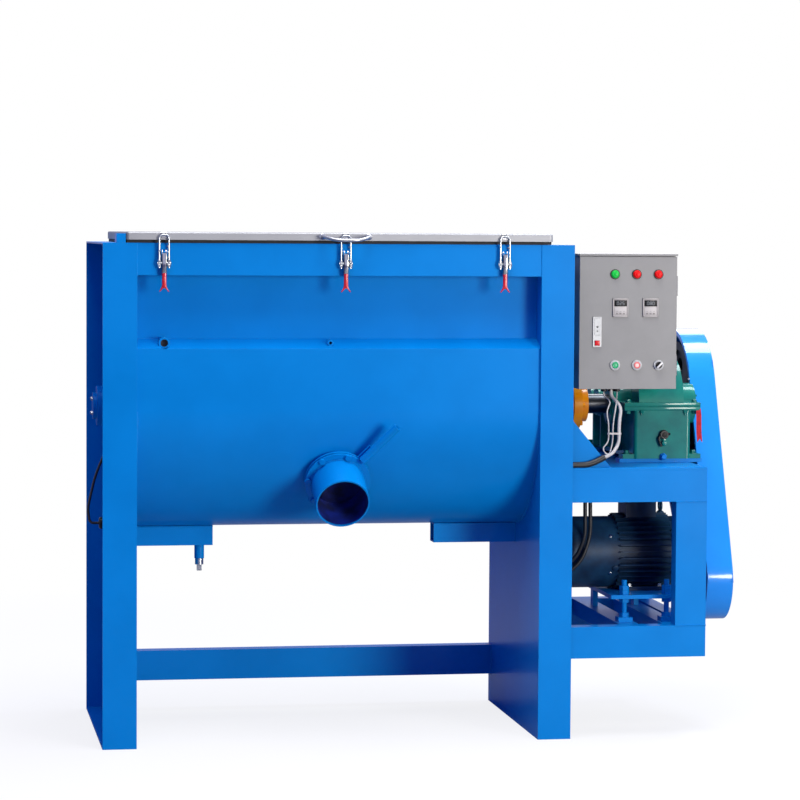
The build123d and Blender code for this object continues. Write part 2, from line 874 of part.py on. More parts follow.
def inner_ribbons():
    """Two inner ribbons of the other hand, which carry the powder back."""
    turn = -full_turn * ribbon_turns
    return group(*[
        ribbon(inner_ribbon_radius, inner_ribbon_width, inner_ribbon_slab, start, turn)
        for start in (0, half_turn)
    ])


def ribbon_arms():
    """Hubs on the shaft with arms out to both ribbons, where the ribbons cross one plane."""
    quarters = int(ribbon_turns * full_turn / quarter_turn)
    step = ribbon_length / quarters
    spans = [
        (shaft_radius, inner_ribbon_radius - inner_ribbon_width - arm_weld_gap),
        (inner_ribbon_radius + arm_weld_gap, outer_ribbon_radius - outer_ribbon_width - arm_weld_gap),
    ]
    pieces = []
    for n in range(1, quarters):
        x = left_web_x + ribbon_end_gap + n * step
        hub = rod_x(x - arm_hub_width / 2, x + arm_hub_width / 2, axis_y, axis_z, arm_hub_radius)
        for start in (0, half_turn):
            angle = radians(n * quarter_turn + start)
            ends = [
                [(x, axis_y + reach * cos(angle), axis_z + reach * sin(angle)) for reach in span]
                for span in spans
            ]
            hub += rod(*ends[0], arm_radius)
            pieces.append(rod(*ends[1], arm_radius))
        hub -= rod_x(x - arm_hub_width, x + arm_hub_width, axis_y, axis_z, shaft_radius)
        pieces.append(hub)
    return group(*pieces)


def main_bearings():
    """Flanged bearing units on the outside of both webs, the left one capped."""
    pieces = []
    half = bearing_square / 2
    pitch = bearing_bolt_pitch / 2
    for web, side in ((left_web_x, -1), (right_web_x, 1)):
        face = web + side * (frame_plate + seal_flange_plate + seal_length)
        base_end = face + side * bearing_base_plate
        end = face + side * bearing_length
        base = block((face, base_end), (axis_y - half, axis_y + half), (axis_z - half, axis_z + half))
        base = chamfer(base.edges().filter_by(Axis.X), half / 2)
        unit = base + rod_x(min(face, end), max(face, end), axis_y, axis_z, bearing_radius)
        unit -= rod_x(min(face, end) - overrun, max(face, end) + overrun, axis_y, axis_z,
                      shaft_radius + running_gap)
        for dy in (-pitch, pitch):
            for dz in (-pitch, pitch):
                unit += hexagon_x(base_end, base_end + side * bearing_bolt_height, axis_y + dy, axis_z + dz,
                                  bearing_bolt_head)
                unit += hexagon_x(web + side * frame_plate, face, axis_y + dy, axis_z + dz, bearing_bolt_head)
        pieces.append(unit)
    left_face = left_web_x - frame_plate - seal_flange_plate - seal_length - bearing_length
    cap = rod_x(left_face - bearing_cap_length, left_face, axis_y, axis_z, bearing_cap_radius)
    cap -= rod_x(left_face - bearing_cap_length / 2, left_face + overrun, axis_y, axis_z,
                 shaft_radius + moving_gap)
    pieces.append(cap)
    return group(*pieces)


def shaft_seals():
    """Stuffing boxes where the shaft passes the webs."""
    pieces = []
    for web, side in ((left_web_x, -1), (right_web_x, 1)):
        flange_start = web + side * frame_plate
        flange_end = flange_start + side * seal_flange_plate
        end = flange_end + side * seal_length
        body = rod_x(min(web, end), max(web, end), axis_y, axis_z, seal_radius)
        body += rod_x(min(flange_start, flange_end), max(flange_start, flange_end),
                      axis_y, axis_z, seal_flange_radius)
        pitch = bearing_bolt_pitch / 2
        for dy in (-pitch, pitch):
            for dz in (-pitch, pitch):
                body -= rod_x(min(web, end), max(web, end), axis_y + dy, axis_z + dz,
                              bearing_bolt_head + moving_gap)
        body -= rod_x(min(web, end) - overrun, max(web, end) + overrun, axis_y, axis_z,
                      shaft_radius + running_gap)
        pieces.append(body)
    return group(*pieces)


def shaft_coupling():
    """Two flanged halves bolted face to face across the shaft joint."""
    middle = (coupling_start + coupling_end) / 2
    pieces = []
    for end, side, bore in ((coupling_start, -1, shaft_radius), (coupling_end, 1, output_shaft_radius)):
        face = middle + side * coupling_gap / 2
        flange = face + side * coupling_flange
        half = rod_x(min(face, end), max(face, end), axis_y, axis_z, coupling_hub_radius)
        half += rod_x(min(face, flange), max(face, flange), axis_y, axis_z, coupling_radius)
        half -= rod_x(min(face, end) - overrun, max(face, end) + overrun, axis_y, axis_z, bore)
        pieces.append(half)
    for n in range(coupling_bolt_count):
        angle = radians(full_turn * n / coupling_bolt_count)
        y = axis_y + coupling_bolt_circle * cos(angle)
        z = axis_z + coupling_bolt_circle * sin(angle)
        for index, side in enumerate((-1, 1)):
            face = middle + side * (coupling_gap / 2 + coupling_flange)
            pieces[index] += hexagon_x(face, face + side * coupling_bolt_radius, y, z, coupling_bolt_radius)
    pieces.append(pipe_x(middle - coupling_gap / 2, middle + coupling_gap / 2, axis_y, axis_z,
                         coupling_radius - coupling_gap, coupling_hub_radius))
    return group(*pieces)


def drive_frame():
    """Hollow section frame that carries gearbox and motor beside the right end frame."""
    left = right_web_x + frame_plate
    post_left = drive_right - drive_member
    top_zs = (drive_top - drive_member, drive_top)
    low_zs = (drive_low, drive_low + drive_member)
    side_xs = (drive_right - drive_member_depth, drive_right)
    inner_ys = (drive_inset + drive_member_depth, drive_rear - drive_member_depth)
    pieces = []
    for ys in ((drive_inset, inner_ys[0]), (inner_ys[1], drive_rear)):
        pieces.append(beam((left, drive_right), ys, top_zs, 0))
        pieces.append(beam((left, drive_right), ys, low_zs, 0))
        pieces.append(beam((post_left, drive_right), ys, (low_zs[1], top_zs[0]), 2))
    for zs in (top_zs, low_zs):
        pieces.append(beam(side_xs, inner_ys, zs, 1))
    beam_zs = (low_zs[1] - motor_beam_height, low_zs[1])
    for x in (stud_left_x, stud_right_x):
        half = motor_beam_width / 2
        right = min(x + half, side_xs[0])
        pieces.append(beam((x - half, right), inner_ys, beam_zs, 1))
    half = guard_bracket / 2
    upper_z = drive_top - drive_member / 2
    for y, zs in (
        (guard_low_y, (low_zs[1] - half, low_zs[1])),
        (guard_low_y, (upper_z - half, upper_z + half)),
    ):
        pieces.append(block((drive_right, guard_left), (y - half, y + half), zs))
    return group(*pieces)


def drive_platform():
    """Top plate of the drive frame, foot rails for the gearbox, and the corner gussets."""
    left = right_web_x + frame_plate
    plate = block((left, drive_right), (drive_inset, drive_rear), (drive_top, platform_top))
    pieces = [plate]
    rail_left = gear_left - gear_foot_reach - gear_rib
    rail_right = gear_right + gear_foot_reach + gear_rib / 2
    for y in (gear_front + foot_rail_inset, gear_rear - foot_rail_inset):
        half = foot_rail_width / 2
        pieces.append(block((rail_left, rail_right), (y - half, y + half), (platform_top, foot_rail_top)))
    for y in (drive_inset + gusset_inset, drive_rear - gusset_inset):
        corner = make_face(Polyline(
            (left, platform_top),
            (machine_right + gusset_reach, platform_top),
            (left, platform_top + gusset_rise * (machine_right + gusset_reach - left) / gusset_reach),
            close=True,
        ))
        wing = extrude(Plane.XZ * corner, amount=gusset_plate, dir=(0, 1, 0))
        pieces.append(Pos(0, y - gusset_plate / 2, 0) * wing)
    return group(*pieces)


def gear_bosses(low_end, high_end):
    """Bearing bosses of the three gearbox shafts, between two X ends."""
    bosses = rod_x(low_end, high_end, axis_y, axis_z, output_boss_radius)
    bosses += rod_x(low_end, high_end, middle_y, axis_z, middle_boss_radius)
    bosses += rod_x(low_end, high_end, input_y, axis_z, input_boss_radius)
    return bosses


def gearbox_lower_case():
    """Cast lower half: ribbed box, foot lugs, half bosses and the split flange."""
    flange_low = axis_z - gear_flange_plate
    flange_xs = (gear_left - gear_flange_reach, gear_right + gear_flange_reach)
    case = block((gear_left, gear_right), (gear_front, gear_rear), (foot_rail_top, axis_z))
    case = fillet(case.edges().filter_by(Axis.Z), gear_rib)
    case += block(flange_xs, (gear_front, gear_rear), (flange_low, axis_z))
    half = gear_foot_width / 2
    for y in (gear_front + foot_rail_inset, gear_rear - foot_rail_inset):
        case += block((gear_left - gear_foot_reach, gear_right + gear_foot_reach),
                      (y - half, y + half), (foot_rail_top, foot_rail_top + gear_floor_plate))
    for y in (axis_y, middle_y, input_y):
        case += block((gear_left - gear_flange_reach, gear_right + gear_flange_reach),
                      (y - gear_rib / 2, y + gear_rib / 2), (foot_rail_top + gear_floor_plate, axis_z))
    bosses = gear_bosses(gear_left - boss_reach, gear_right + boss_reach)
    lower = block((gear_left - boss_reach - overrun, gear_right + boss_reach + overrun),
                  (gear_front, gear_rear), (foot_rail_top, axis_z))
    case += bosses & lower
    case -= rod_x(gear_left - boss_reach - overrun, gear_right, axis_y, axis_z,
                  output_shaft_radius + running_gap)
    case -= rod_x(gear_left, gear_right + boss_reach + overrun, input_y, axis_z,
                  input_shaft_radius + running_gap)
    return case


def gearbox_upper_case():
    """Cast upper half, arched over the large and the small gear."""
    flange_top = axis_z + gear_flange_plate
    flange_xs = (gear_left - gear_flange_reach, gear_right + gear_flange_reach)
    arch = belt_outline((axis_y, axis_z), gear_case_radius, (input_y, axis_z), gear_case_small_radius)
    case = prism_x(arch, gear_left + gear_upper_inset, gear_right - gear_upper_inset)
    above = block((gear_left - boss_reach - overrun, gear_right + boss_reach + overrun),
                  (gear_front, gear_rear), (axis_z, axis_z + gear_case_radius + overrun))
    case = case & above
    case += block(flange_xs, (gear_front, gear_rear), (axis_z, flange_top))
    case += gear_bosses(gear_left - boss_reach, gear_right + boss_reach) & above
    case -= rod_x(gear_left - boss_reach - overrun, gear_right, axis_y, axis_z,
                  output_shaft_radius + running_gap)
    case -= rod_x(gear_left, gear_right + boss_reach + overrun, input_y, axis_z,
                  input_shaft_radius + running_gap)
    return case


def gearbox_covers():
    """Round covers on the bearing bosses, bored where a shaft passes."""
    pieces = []
    bosses = ((axis_y, output_boss_radius), (middle_y, middle_boss_radius), (input_y, input_boss_radius))
    for y, radius in bosses:
        for face, side in ((gear_left - boss_reach, -1), (gear_right + boss_reach, 1)):
            end = face + side * gear_cover_plate
            cover = rod_x(min(face, end), max(face, end), y, axis_z, radius - gear_cover_bolt / 2)
            if y == axis_y and side < 0:
                cover -= rod_x(end - overrun, face + overrun, y, axis_z, output_shaft_radius + running_gap)
            if y == input_y and side > 0:
                cover -= rod_x(face - overrun, end + overrun, y, axis_z, input_shaft_radius + running_gap)
            pieces.append(cover)
    return group(*pieces)


def gearbox_fittings():
    """Flange and foot bolts, oil level plug, drain plug and breather."""
    pieces = []
    bolt = extrude(RegularPolygon(gear_bolt_radius, 6), amount=gear_bolt_height)
    bolt_xs = (gear_left - gear_flange_reach / 2, gear_right + gear_flange_reach / 2)
    bolt_inset = gear_rib + gear_bolt_radius
    top = axis_z + gear_flange_plate
    for x in bolt_xs:
        for y in (gear_front + bolt_inset, gear_rear - bolt_inset):
            pieces.append(Pos(x, y, top) * bolt)
    foot_top = foot_rail_top + gear_floor_plate
    foot_xs = (gear_left - gear_foot_reach / 2, gear_right + gear_foot_reach / 2)
    for x in foot_xs:
        for y in (gear_front + foot_rail_inset, gear_rear - foot_rail_inset):
            pieces.append(Pos(x, y, foot_top) * bolt)
    plug_x = gear_left + gear_width / 2 - gear_plug_radius
    level_height = foot_rail_top + gear_centre_height * 2 / 3
    drain_height = foot_rail_top + gear_floor_plate * 2 + gear_plug_radius
    for height in (level_height, drain_height):
        face = gear_front - gear_cover_plate
        plug = rod((plug_x, face, height), (plug_x, gear_front, height), gear_plug_radius)
        key = Plane.XZ * RegularPolygon(gear_bolt_radius, 6)
        hexagon = extrude(key, amount=gear_bolt_height, dir=(0, -1, 0))
        plug += Pos(plug_x, face, height) * hexagon
        pieces.append(plug)
    breather_base = axis_z + gear_case_radius
    mid_x = gear_left + gear_width / 2
    breather_top = breather_base + gear_plug_radius
    pieces.append(rod((mid_x, axis_y, breather_base), (mid_x, axis_y, breather_top), gear_bolt_radius))
    return group(*pieces)


def guard_outline(inset):
    """Outline of the belt guard, moved inwards by an inset."""
    return belt_outline((input_y, axis_z), guard_top_radius - inset,
                        (guard_low_y, guard_low_height), guard_low_radius - inset)


def belt_guard():
    """Sheet housing round both pulleys, open towards the gearbox behind a turned lip."""
    shell = prism_x(guard_outline(0), guard_left, guard_right)
    room = prism_x(guard_outline(guard_wall), guard_left + guard_wall, guard_right - guard_wall)
    mouth = prism_x(guard_outline(guard_lip), guard_left - overrun, guard_left + guard_wall + overrun)
    return shell - room - mouth


def pulley(radius, bore, y, z, holes):
    """Grooved pulley with a web and hub."""
    mid = (pulley_left + pulley_right) / 2
    points = [(pulley_left, radius - groove_depth - pulley_rim), (pulley_left, radius)]
    for n in range(groove_count):
        centre = mid + (n - (groove_count - 1) / 2) * groove_pitch
        points += [
            (centre - groove_top / 2, radius),
            (centre - groove_bottom / 2, radius - groove_depth),
            (centre + groove_bottom / 2, radius - groove_depth),
            (centre + groove_top / 2, radius),
        ]
    points += [(pulley_right, radius), (pulley_right, radius - groove_depth - pulley_rim)]
    wheel = turned(points, y, z)
    rim_inside = radius - groove_depth - pulley_rim
    wheel += pipe_x(mid - pulley_web / 2, mid + pulley_web / 2, y, z, rim_inside, bore)
    wheel += pipe_x(pulley_left, pulley_right, y, z, min(pulley_hub_radius, radius / 2), bore)
    if holes:
        for n in range(pulley_hole_count):
            angle = radians(full_turn * n / pulley_hole_count)
            wheel -= rod_x(pulley_left, pulley_right, y + pulley_hole_circle * cos(angle),
                           z + pulley_hole_circle * sin(angle), pulley_hole_radius)
    return wheel


def input_pulley():
    """Large driven pulley and the gearbox input shaft it is keyed to."""
    wheel = pulley(driven_pulley_radius, input_shaft_radius, input_y, axis_z, True)
    shaft = rod_x(gear_left + boss_reach, pulley_right + moving_gap, input_y, axis_z, input_shaft_radius)
    return group(wheel, shaft)


def motor_pulley():
    """Small pulley, motor shaft and the cooling fan on its other end."""
    wheel = pulley(motor_pulley_radius, motor_shaft_radius, motor_y, motor_height, False)
    shaft_left = fan_cover_left + fan_slot_inner
    shaft = rod_x(shaft_left, pulley_right + moving_gap, motor_y, motor_height, motor_shaft_radius)
    fan_left = shaft_left + motor_shaft_radius
    fan_right = fan_left + fan_slot_inner
    fan = pipe_x(fan_left, fan_right, motor_y, motor_height, 2 * motor_shaft_radius, motor_shaft_radius)
    fan += pipe_x(fan_right - fan_cover_wall * 2, fan_right, motor_y, motor_height,
                  fan_slot_outer, motor_shaft_radius)
    for n in range(fan_slot_count // 2):
        blade = block((fan_left, fan_right), (motor_shaft_radius + fan_cover_wall, fan_slot_outer),
                      (-fan_cover_wall, fan_cover_wall))
        fan += Pos(0, motor_y, motor_height) * Rot(2 * full_turn * n / fan_slot_count, 0, 0) * blade
    return group(wheel, shaft, fan)


def v_belts():
    """Belts in the grooves of both pulleys."""
    mid = (pulley_left + pulley_right) / 2
    high = groove_depth - belt_height - belt_gap
    pieces = []
    for n in range(groove_count):
        centre = mid + (n - (groove_count - 1) / 2) * groove_pitch
        half = groove_bottom / 2 - belt_gap
        outer = belt_outline((input_y, axis_z), driven_pulley_radius - high,
                             (motor_y, motor_height), motor_pulley_radius - high)
        inner = belt_outline((input_y, axis_z), driven_pulley_radius - high - belt_height,
                             (motor_y, motor_height), motor_pulley_radius - high - belt_height)
        loop = prism_x(outer, centre - half, centre + half)
        pieces.append(loop - prism_x(inner, centre - half - overrun, centre + half + overrun))
    return group(*pieces)


def motor_body():
    """Finned motor frame with end shields and cast feet."""
    section = Circle(motor_core_radius)
    for n in range(motor_fin_count):
        fin = Rot(0, 0, full_turn * (n + 1 / 2) / motor_fin_count) * Pos(motor_core_radius, 0) * Rectangle(
            2 * (motor_fin_radius - motor_core_radius), motor_fin
        )
        section = section + fin
    reach = motor_height - motor_plate_top - moving_gap
    flat = Rectangle(2 * motor_fin_radius, motor_fin_radius)
    section = section - Pos(0, -reach - motor_fin_radius / 2) * flat
    left = motor_body_left + motor_shield_width
    right = motor_body_right - motor_shield_width
    body = Pos(0, motor_y, motor_height) * prism_x(section, left, right)
    body += rod_x(motor_body_left, left, motor_y, motor_height, motor_shield_radius)
    body += rod_x(right, motor_body_right, motor_y, motor_height, motor_shield_radius)
    middle = (motor_body_left + motor_body_right) / 2
    foot_xs = (middle - motor_foot_length / 2, middle + motor_foot_length / 2)
    for side in (-1, 1):
        outer = motor_y + side * motor_foot_span / 2
        inner = outer - side * motor_foot_width * 2
        body += block(foot_xs, (outer, inner), (motor_plate_top, motor_plate_top + motor_foot_plate))
        body += block(foot_xs, (inner, inner + side * motor_foot_plate),
                      (motor_plate_top, motor_height - motor_core_radius / 2))
    body -= rod_x(motor_body_left - overrun, motor_body_right + overrun, motor_y, motor_height,
                  motor_shaft_radius + running_gap)
    return body


def motor_fan_cover():
    """Pressed cowl over the fan, slotted round its end."""
    edge = motor_body_left + motor_shield_width / 2
    outer = motor_shield_radius + running_gap + fan_cover_wall
    nose = fan_cover_left
    shoulder = nose + fan_slot_inner / 2
    wall = fan_cover_wall
    cowl = turned(
        [
            (nose, 0),
            (nose, outer - fan_slot_inner / 2),
            (shoulder, outer),
            (edge, outer),
            (edge, outer - wall),
            (shoulder, outer - wall),
            (nose + wall, outer - fan_slot_inner / 2 - wall),
            (nose + wall, 0),
        ],
        motor_y, motor_height,
    )
    for n in range(fan_slot_count):
        slot = block((nose - overrun, nose + overrun), (fan_slot_inner, fan_slot_outer),
                     (-fan_slot_width / 2, fan_slot_width / 2))
        cowl -= Pos(0, motor_y, motor_height) * Rot(full_turn * n / fan_slot_count, 0, 0) * slot
    return cowl


def motor_terminal_box():
    """Terminal box and its lid on top of the motor."""
    base = motor_height + motor_core_radius - motor_fin
    top = motor_height + motor_fin_radius + terminal_height
    ys = (motor_y - terminal_depth / 2, motor_y + terminal_depth / 2)
    xs = (terminal_left, terminal_left + terminal_length)
    box = block(xs, ys, (base, top - terminal_lid))
    box -= rod_x(xs[0] - overrun, xs[1] + overrun, motor_y, motor_height, motor_fin_radius + moving_gap)
    neck = block((xs[0] + terminal_lid, xs[1] - terminal_lid),
                 (ys[0] + terminal_lid * 2, ys[1] - terminal_lid * 2),
                 (motor_height + motor_fin_radius - motor_fin, top - terminal_lid))
    lid = block((xs[0] - terminal_lid / 2, xs[1] + terminal_lid / 2),
                (ys[0] - terminal_lid / 2, ys[1] + terminal_lid / 2), (top - terminal_lid, top))
    body = motor_body_core()
    return box + (neck - body) + lid


def motor_body_core():
    """Round envelope of the motor's fins."""
    return rod_x(motor_body_left, motor_body_right, motor_y, motor_height, motor_fin_radius + running_gap)


def motor_base():
    """Motor plate with hinge knuckles at the back, and the hinge brackets under it."""
    low = motor_plate_top - motor_plate
    plate = block((motor_plate_left, motor_plate_right), (motor_plate_front, motor_plate_rear),
                  (low, motor_plate_top))
    for x in (stud_left_x, stud_right_x):
        plate -= rod((x, stud_y, low - overrun), (x, stud_y, motor_plate_top + overrun),
                     stud_radius + moving_gap)
    hinge_y = motor_plate_rear + motor_hinge_radius + motor_hinge_wrap
    hinge_z = low + motor_plate / 2
    pieces = [plate]
    beam_top = drive_low + drive_member
    pin = rod_x(motor_plate_left, motor_plate_right, hinge_y, hinge_z, motor_hinge_radius)
    mid = (motor_plate_left + motor_plate_right) / 2
    half = motor_beam_width / 2
    knuckle_radius = motor_hinge_radius + motor_hinge_wrap
    knuckle = rod_x(mid - half, mid + half, hinge_y, hinge_z, knuckle_radius)
    knuckle += block((mid - half, mid + half), (motor_plate_rear, hinge_y), (low, motor_plate_top))
    pieces[0] += knuckle - pin
    for x in (stud_left_x, stud_right_x):
        ear = block((x - motor_hinge_wrap, x + motor_hinge_wrap),
                    (hinge_y - knuckle_radius + moving_gap, hinge_y + knuckle_radius),
                    (beam_top, hinge_z + knuckle_radius))
        pieces.append(ear - pin)
    pieces.append(pin)
    return group(*pieces)


def tension_studs():
    """Two studs with nuts above and below the motor plate, on lugs of the motor beams."""
    pieces = []
    low = motor_plate_top - motor_plate
    beam_top = drive_low + drive_member
    nut = extrude(RegularPolygon(stud_nut_radius, 6), amount=stud_nut_height)
    for x in (stud_left_x, stud_right_x):
        lug = block((x - stud_lug / 2, x + stud_lug / 2), (stud_y - stud_lug / 2, stud_y + stud_lug / 2),
                    (beam_top, beam_top + stud_lug_height))
        stud = rod((x, stud_y, beam_top + stud_lug_height), (x, stud_y, stud_top_height), stud_radius)
        for nut_low in (beam_top + stud_lug_height, low - stud_nut_height, motor_plate_top,
                        motor_plate_top + stud_nut_height + moving_gap):
            stud += Pos(x, stud_y, nut_low) * nut
        pieces.append(lug + stud)
    return group(*pieces)


def control_box():
    """Sheet steel box, open to the front, with a rain hood, back plate and contactors."""
    xs = (box_left, box_right)
    zs = (box_bottom, box_top)
    front = door_rear + door_gap
    shell = block(xs, (front, box_rear), zs)
    shell -= block((xs[0] + box_sheet, xs[1] - box_sheet), (front - overrun, box_rear - box_sheet),
                   (zs[0] + box_sheet, zs[1] - box_sheet))
    hood = block((xs[0] - box_sheet, xs[1] + box_sheet), (box_front - box_sheet, box_rear),
                 (zs[1], zs[1] + box_hood))
    shell += hood
    face = box_rear - box_sheet - box_back_plate
    plate = block((xs[0] + box_arm, xs[1] - box_arm), (face, face + box_back_plate),
                  (zs[0] + box_arm, zs[1] - box_arm))
    for z in door_hinge_heights:
        barrel_top = z + door_hinge_length + moving_gap
        ends = ((door_axis_x, door_rear, z - moving_gap), (door_axis_x, door_rear, barrel_top))
        shell -= rod(*ends, door_hinge_radius + moving_gap)
        shell += rod((door_axis_x, door_rear, z - door_hinge_length / 2), ends[0], door_hinge_radius)
    pieces = [shell, plate]
    pitch = (box_width - 2 * box_arm) / contactor_count
    for n in range(contactor_count):
        x = xs[0] + box_arm + pitch * (n + 1 / 2)
        z = (zs[0] + zs[1]) / 2
        pieces.append(block((x - contactor_width / 2, x + contactor_width / 2),
                            (face - contactor_depth, face),
                            (z - contactor_height / 2, z + contactor_height / 2)))
    return group(*pieces)


def box_brackets():
    """Angle arms from the right web to the back of the box."""
    pieces = []
    for z in (box_bottom + box_arm_inset, box_top - box_arm_inset - box_arm):
        span = (right_web_x + frame_plate, gear_left)
        arm = block(span, (box_rear, box_rear + box_arm_plate), (z, z + box_arm))
        arm += block(span, (box_rear, box_rear + box_arm), (z, z + box_arm_plate))
        pieces.append(arm)
    return group(*pieces)


def control_place(x, height, y):
    """Place on the door, from the box's lower left corner, looking out of it."""
    return Plane(origin=(box_left + x, y, box_bottom + height), x_dir=(1, 0, 0), z_dir=(0, -1, 0))


def knob(x, height, low, high, radius):
    """Round slab that stands out of the door's front from low to high."""
    return control_place(x, height, box_front - low) * Cylinder(
        radius, high - low, align=(Align.CENTER, Align.CENTER, Align.MIN)
    )


def plate_at(x, height, low, high, width, tall):
    """Rectangular slab on the door's front from low to high."""
    return control_place(x, height, box_front - low) * Box(
        width, tall, high - low, align=(Align.CENTER, Align.CENTER, Align.MIN)
    )


def box_door():
    """Door tray with turned edges, pierced for its fittings, and its hinge barrels."""
    xs = (box_left, box_right)
    zs = (box_bottom, box_top)
    door = block(xs, (box_front, door_rear), (zs[0], zs[1] - box_sheet))
    door -= block((xs[0] + box_sheet, xs[1] - box_sheet), (box_front + box_sheet, door_rear + overrun),
                  (zs[0] + box_sheet, zs[1] - 2 * box_sheet))
    for z in door_hinge_heights:
        door -= rod((door_axis_x, door_rear, z - door_hinge_length), (door_axis_x, door_rear, z),
                    door_hinge_radius + moving_gap)
    for x in lamp_xs:
        door -= knob(x, lamp_height, -door_depth, overrun, control_body_radius)
    for x in control_xs:
        door -= knob(x, control_height, -door_depth, overrun, control_body_radius)
    for x in meter_xs:
        door -= plate_at(x, meter_centre_height, -door_depth, overrun, meter_width - 2 * meter_bezel,
                         meter_height - 2 * meter_bezel)
    door -= plate_at(lock_x, lock_centre_height, -door_depth, overrun, lock_width - 2 * box_sheet,
                     lock_height - 2 * box_sheet)
    for z in door_hinge_heights:
        ends = ((door_axis_x, door_rear, z), (door_axis_x, door_rear, z + door_hinge_length))
        door += rod(*ends, door_hinge_radius)
    return door


def pilot_lamps():
    """Three lamps: bezel, domed lens and body behind the door."""
    pieces = []
    for x in lamp_xs:
        lamp = knob(x, lamp_height, 0, control_bezel_height / 2, control_bezel_radius)
        lens_low = control_bezel_height / 2
        lamp += knob(x, lamp_height, lens_low, lens_low + lamp_lens_height, lamp_lens_radius)
        lamp = chamfer(lamp.edges().sort_by(Axis.Y)[0], lamp_lens_height / 3)
        lamp += knob(x, lamp_height, -control_body_depth, 0, control_body_radius - running_gap)
        pieces.append(lamp)
    return group(*pieces)


def meters():
    """Two panel instruments with sunk display windows."""
    pieces = []
    for x in meter_xs:
        meter = plate_at(x, meter_centre_height, 0, meter_bezel, meter_width, meter_height)
        meter += plate_at(x, meter_centre_height, -meter_depth, 0,
                          meter_width - 2 * meter_bezel - running_gap,
                          meter_height - 2 * meter_bezel - running_gap)
        meter -= plate_at(x, meter_centre_height + meter_window_rise, meter_bezel / 2, meter_bezel + overrun,
                          meter_window, meter_window_height)
        pieces.append(meter)
    return group(*pieces)


def door_fittings():
    """Lock case, and the bezels and bodies of the push buttons and the selector."""
    case = plate_at(lock_x, lock_centre_height, 0, lock_plate, lock_width, lock_height)
    case += plate_at(lock_x, lock_centre_height, -door_depth, 0, lock_width - 2 * box_sheet - running_gap,
                     lock_height - 2 * box_sheet - running_gap)
    handle_z = lock_centre_height + (lock_height - lock_handle_length) / 2 - lock_plate
    case -= plate_at(lock_x, handle_z, -lock_pocket_gap, lock_plate + overrun,
                     lock_handle_width + 2 * moving_gap, lock_handle_length + 2 * lock_pocket_gap)
    case -= lock_pin(running_gap)
    button_z = lock_centre_height - lock_height / 2 + lock_plate + lock_button_size / 2
    case -= plate_at(lock_x, button_z, -lock_button_travel - moving_gap, lock_plate + overrun,
                     lock_button_size + 2 * moving_gap, lock_button_size + 2 * moving_gap)
    pieces = [case]
    for x in control_xs:
        ring = knob(x, control_height, 0, control_bezel_height, control_bezel_radius)
        ring += knob(x, control_height, -control_body_depth, 0, control_body_radius - running_gap)
        ring -= knob(x, control_height, -control_travel - moving_gap, control_bezel_height + overrun,
                     control_cap_radius + moving_gap)
        pieces.append(ring)
    return group(*pieces)


def push_button(x):
    """Cap that slides into its bezel."""
    cap = knob(x, control_height, 0, control_cap_height, control_cap_radius)
    return chamfer(cap.edges().sort_by(Axis.Y)[0], control_bezel_height / 5)


def selector_knob():
    """Turning knob with a raised grip bar."""
    x = control_xs[2]
    base = knob(x, control_height, 0, control_cap_height, control_cap_radius)
    bar = Box(2 * control_cap_radius, selector_grip, selector_grip_height,
              align=(Align.CENTER, Align.CENTER, Align.MIN))
    place = control_place(x, control_height, box_front - control_cap_height) * Rot(0, 0, quarter_turn / 2)
    return base + place * bar


def lock_pin(gap):
    """Hinge pin across the top of the lock's handle, or its bore with a gap."""
    top = box_bottom + lock_centre_height + lock_height / 2 - lock_plate
    half = lock_handle_width / 2 + lock_pin_reach + gap
    return rod_x(box_left + lock_x - half, box_left + lock_x + half, box_front - lock_handle_plate / 2,
                 top - lock_handle_plate / 2, lock_pin_radius + gap)


def lock_handle():
    """Flush lever of the door lock, hinged on the pin at its top."""
    handle_z = lock_centre_height + (lock_height - lock_handle_length) / 2 - lock_plate
    handle = plate_at(lock_x, handle_z, moving_gap / 2, lock_handle_plate,
                      lock_handle_width, lock_handle_length)
    return handle + lock_pin(0)


def lock_button():
    """Square release button of the door lock."""
    button_z = lock_centre_height - lock_height / 2 + lock_plate + lock_button_size / 2
    return plate_at(lock_x, button_z, 0, lock_handle_plate + lock_button_travel,
                    lock_button_size, lock_button_size)


def lid():
    """Pan shaped lid of thin sheet with a turned down skirt."""
    pan = block((lid_left, lid_right), (lid_front, lid_rear), (lid_bottom, lid_top))
    pan = fillet(pan.edges().filter_by(Axis.Z), lid_corner)
    pan = fillet(pan.faces().sort_by(Axis.Z)[-1].edges(), lid_sheet * 2)
    room = block((lid_left + lid_sheet, lid_right - lid_sheet), (lid_front + lid_sheet, lid_rear - lid_sheet),
                 (lid_bottom - overrun, lid_top - lid_sheet))
    room = fillet(room.edges().filter_by(Axis.Z), lid_corner - lid_sheet)
    return pan - room


def lid_gasket():
    """Flat seal ring under the lid, resting on rails and end frames."""
    xs = (lid_left + lid_sheet + moving_gap, lid_right - lid_sheet - moving_gap)
    ys = (gasket_inset, lid_rear - gasket_inset)
    zs = (frame_height + moving_gap / 2, lid_top - lid_sheet)
    ring = block(xs, ys, zs)
    ring -= block((xs[0] + gasket_width, xs[1] - gasket_width), (ys[0] + gasket_width, ys[1] - gasket_width),
                  (zs[0] - overrun, zs[1] + overrun))
    return ring


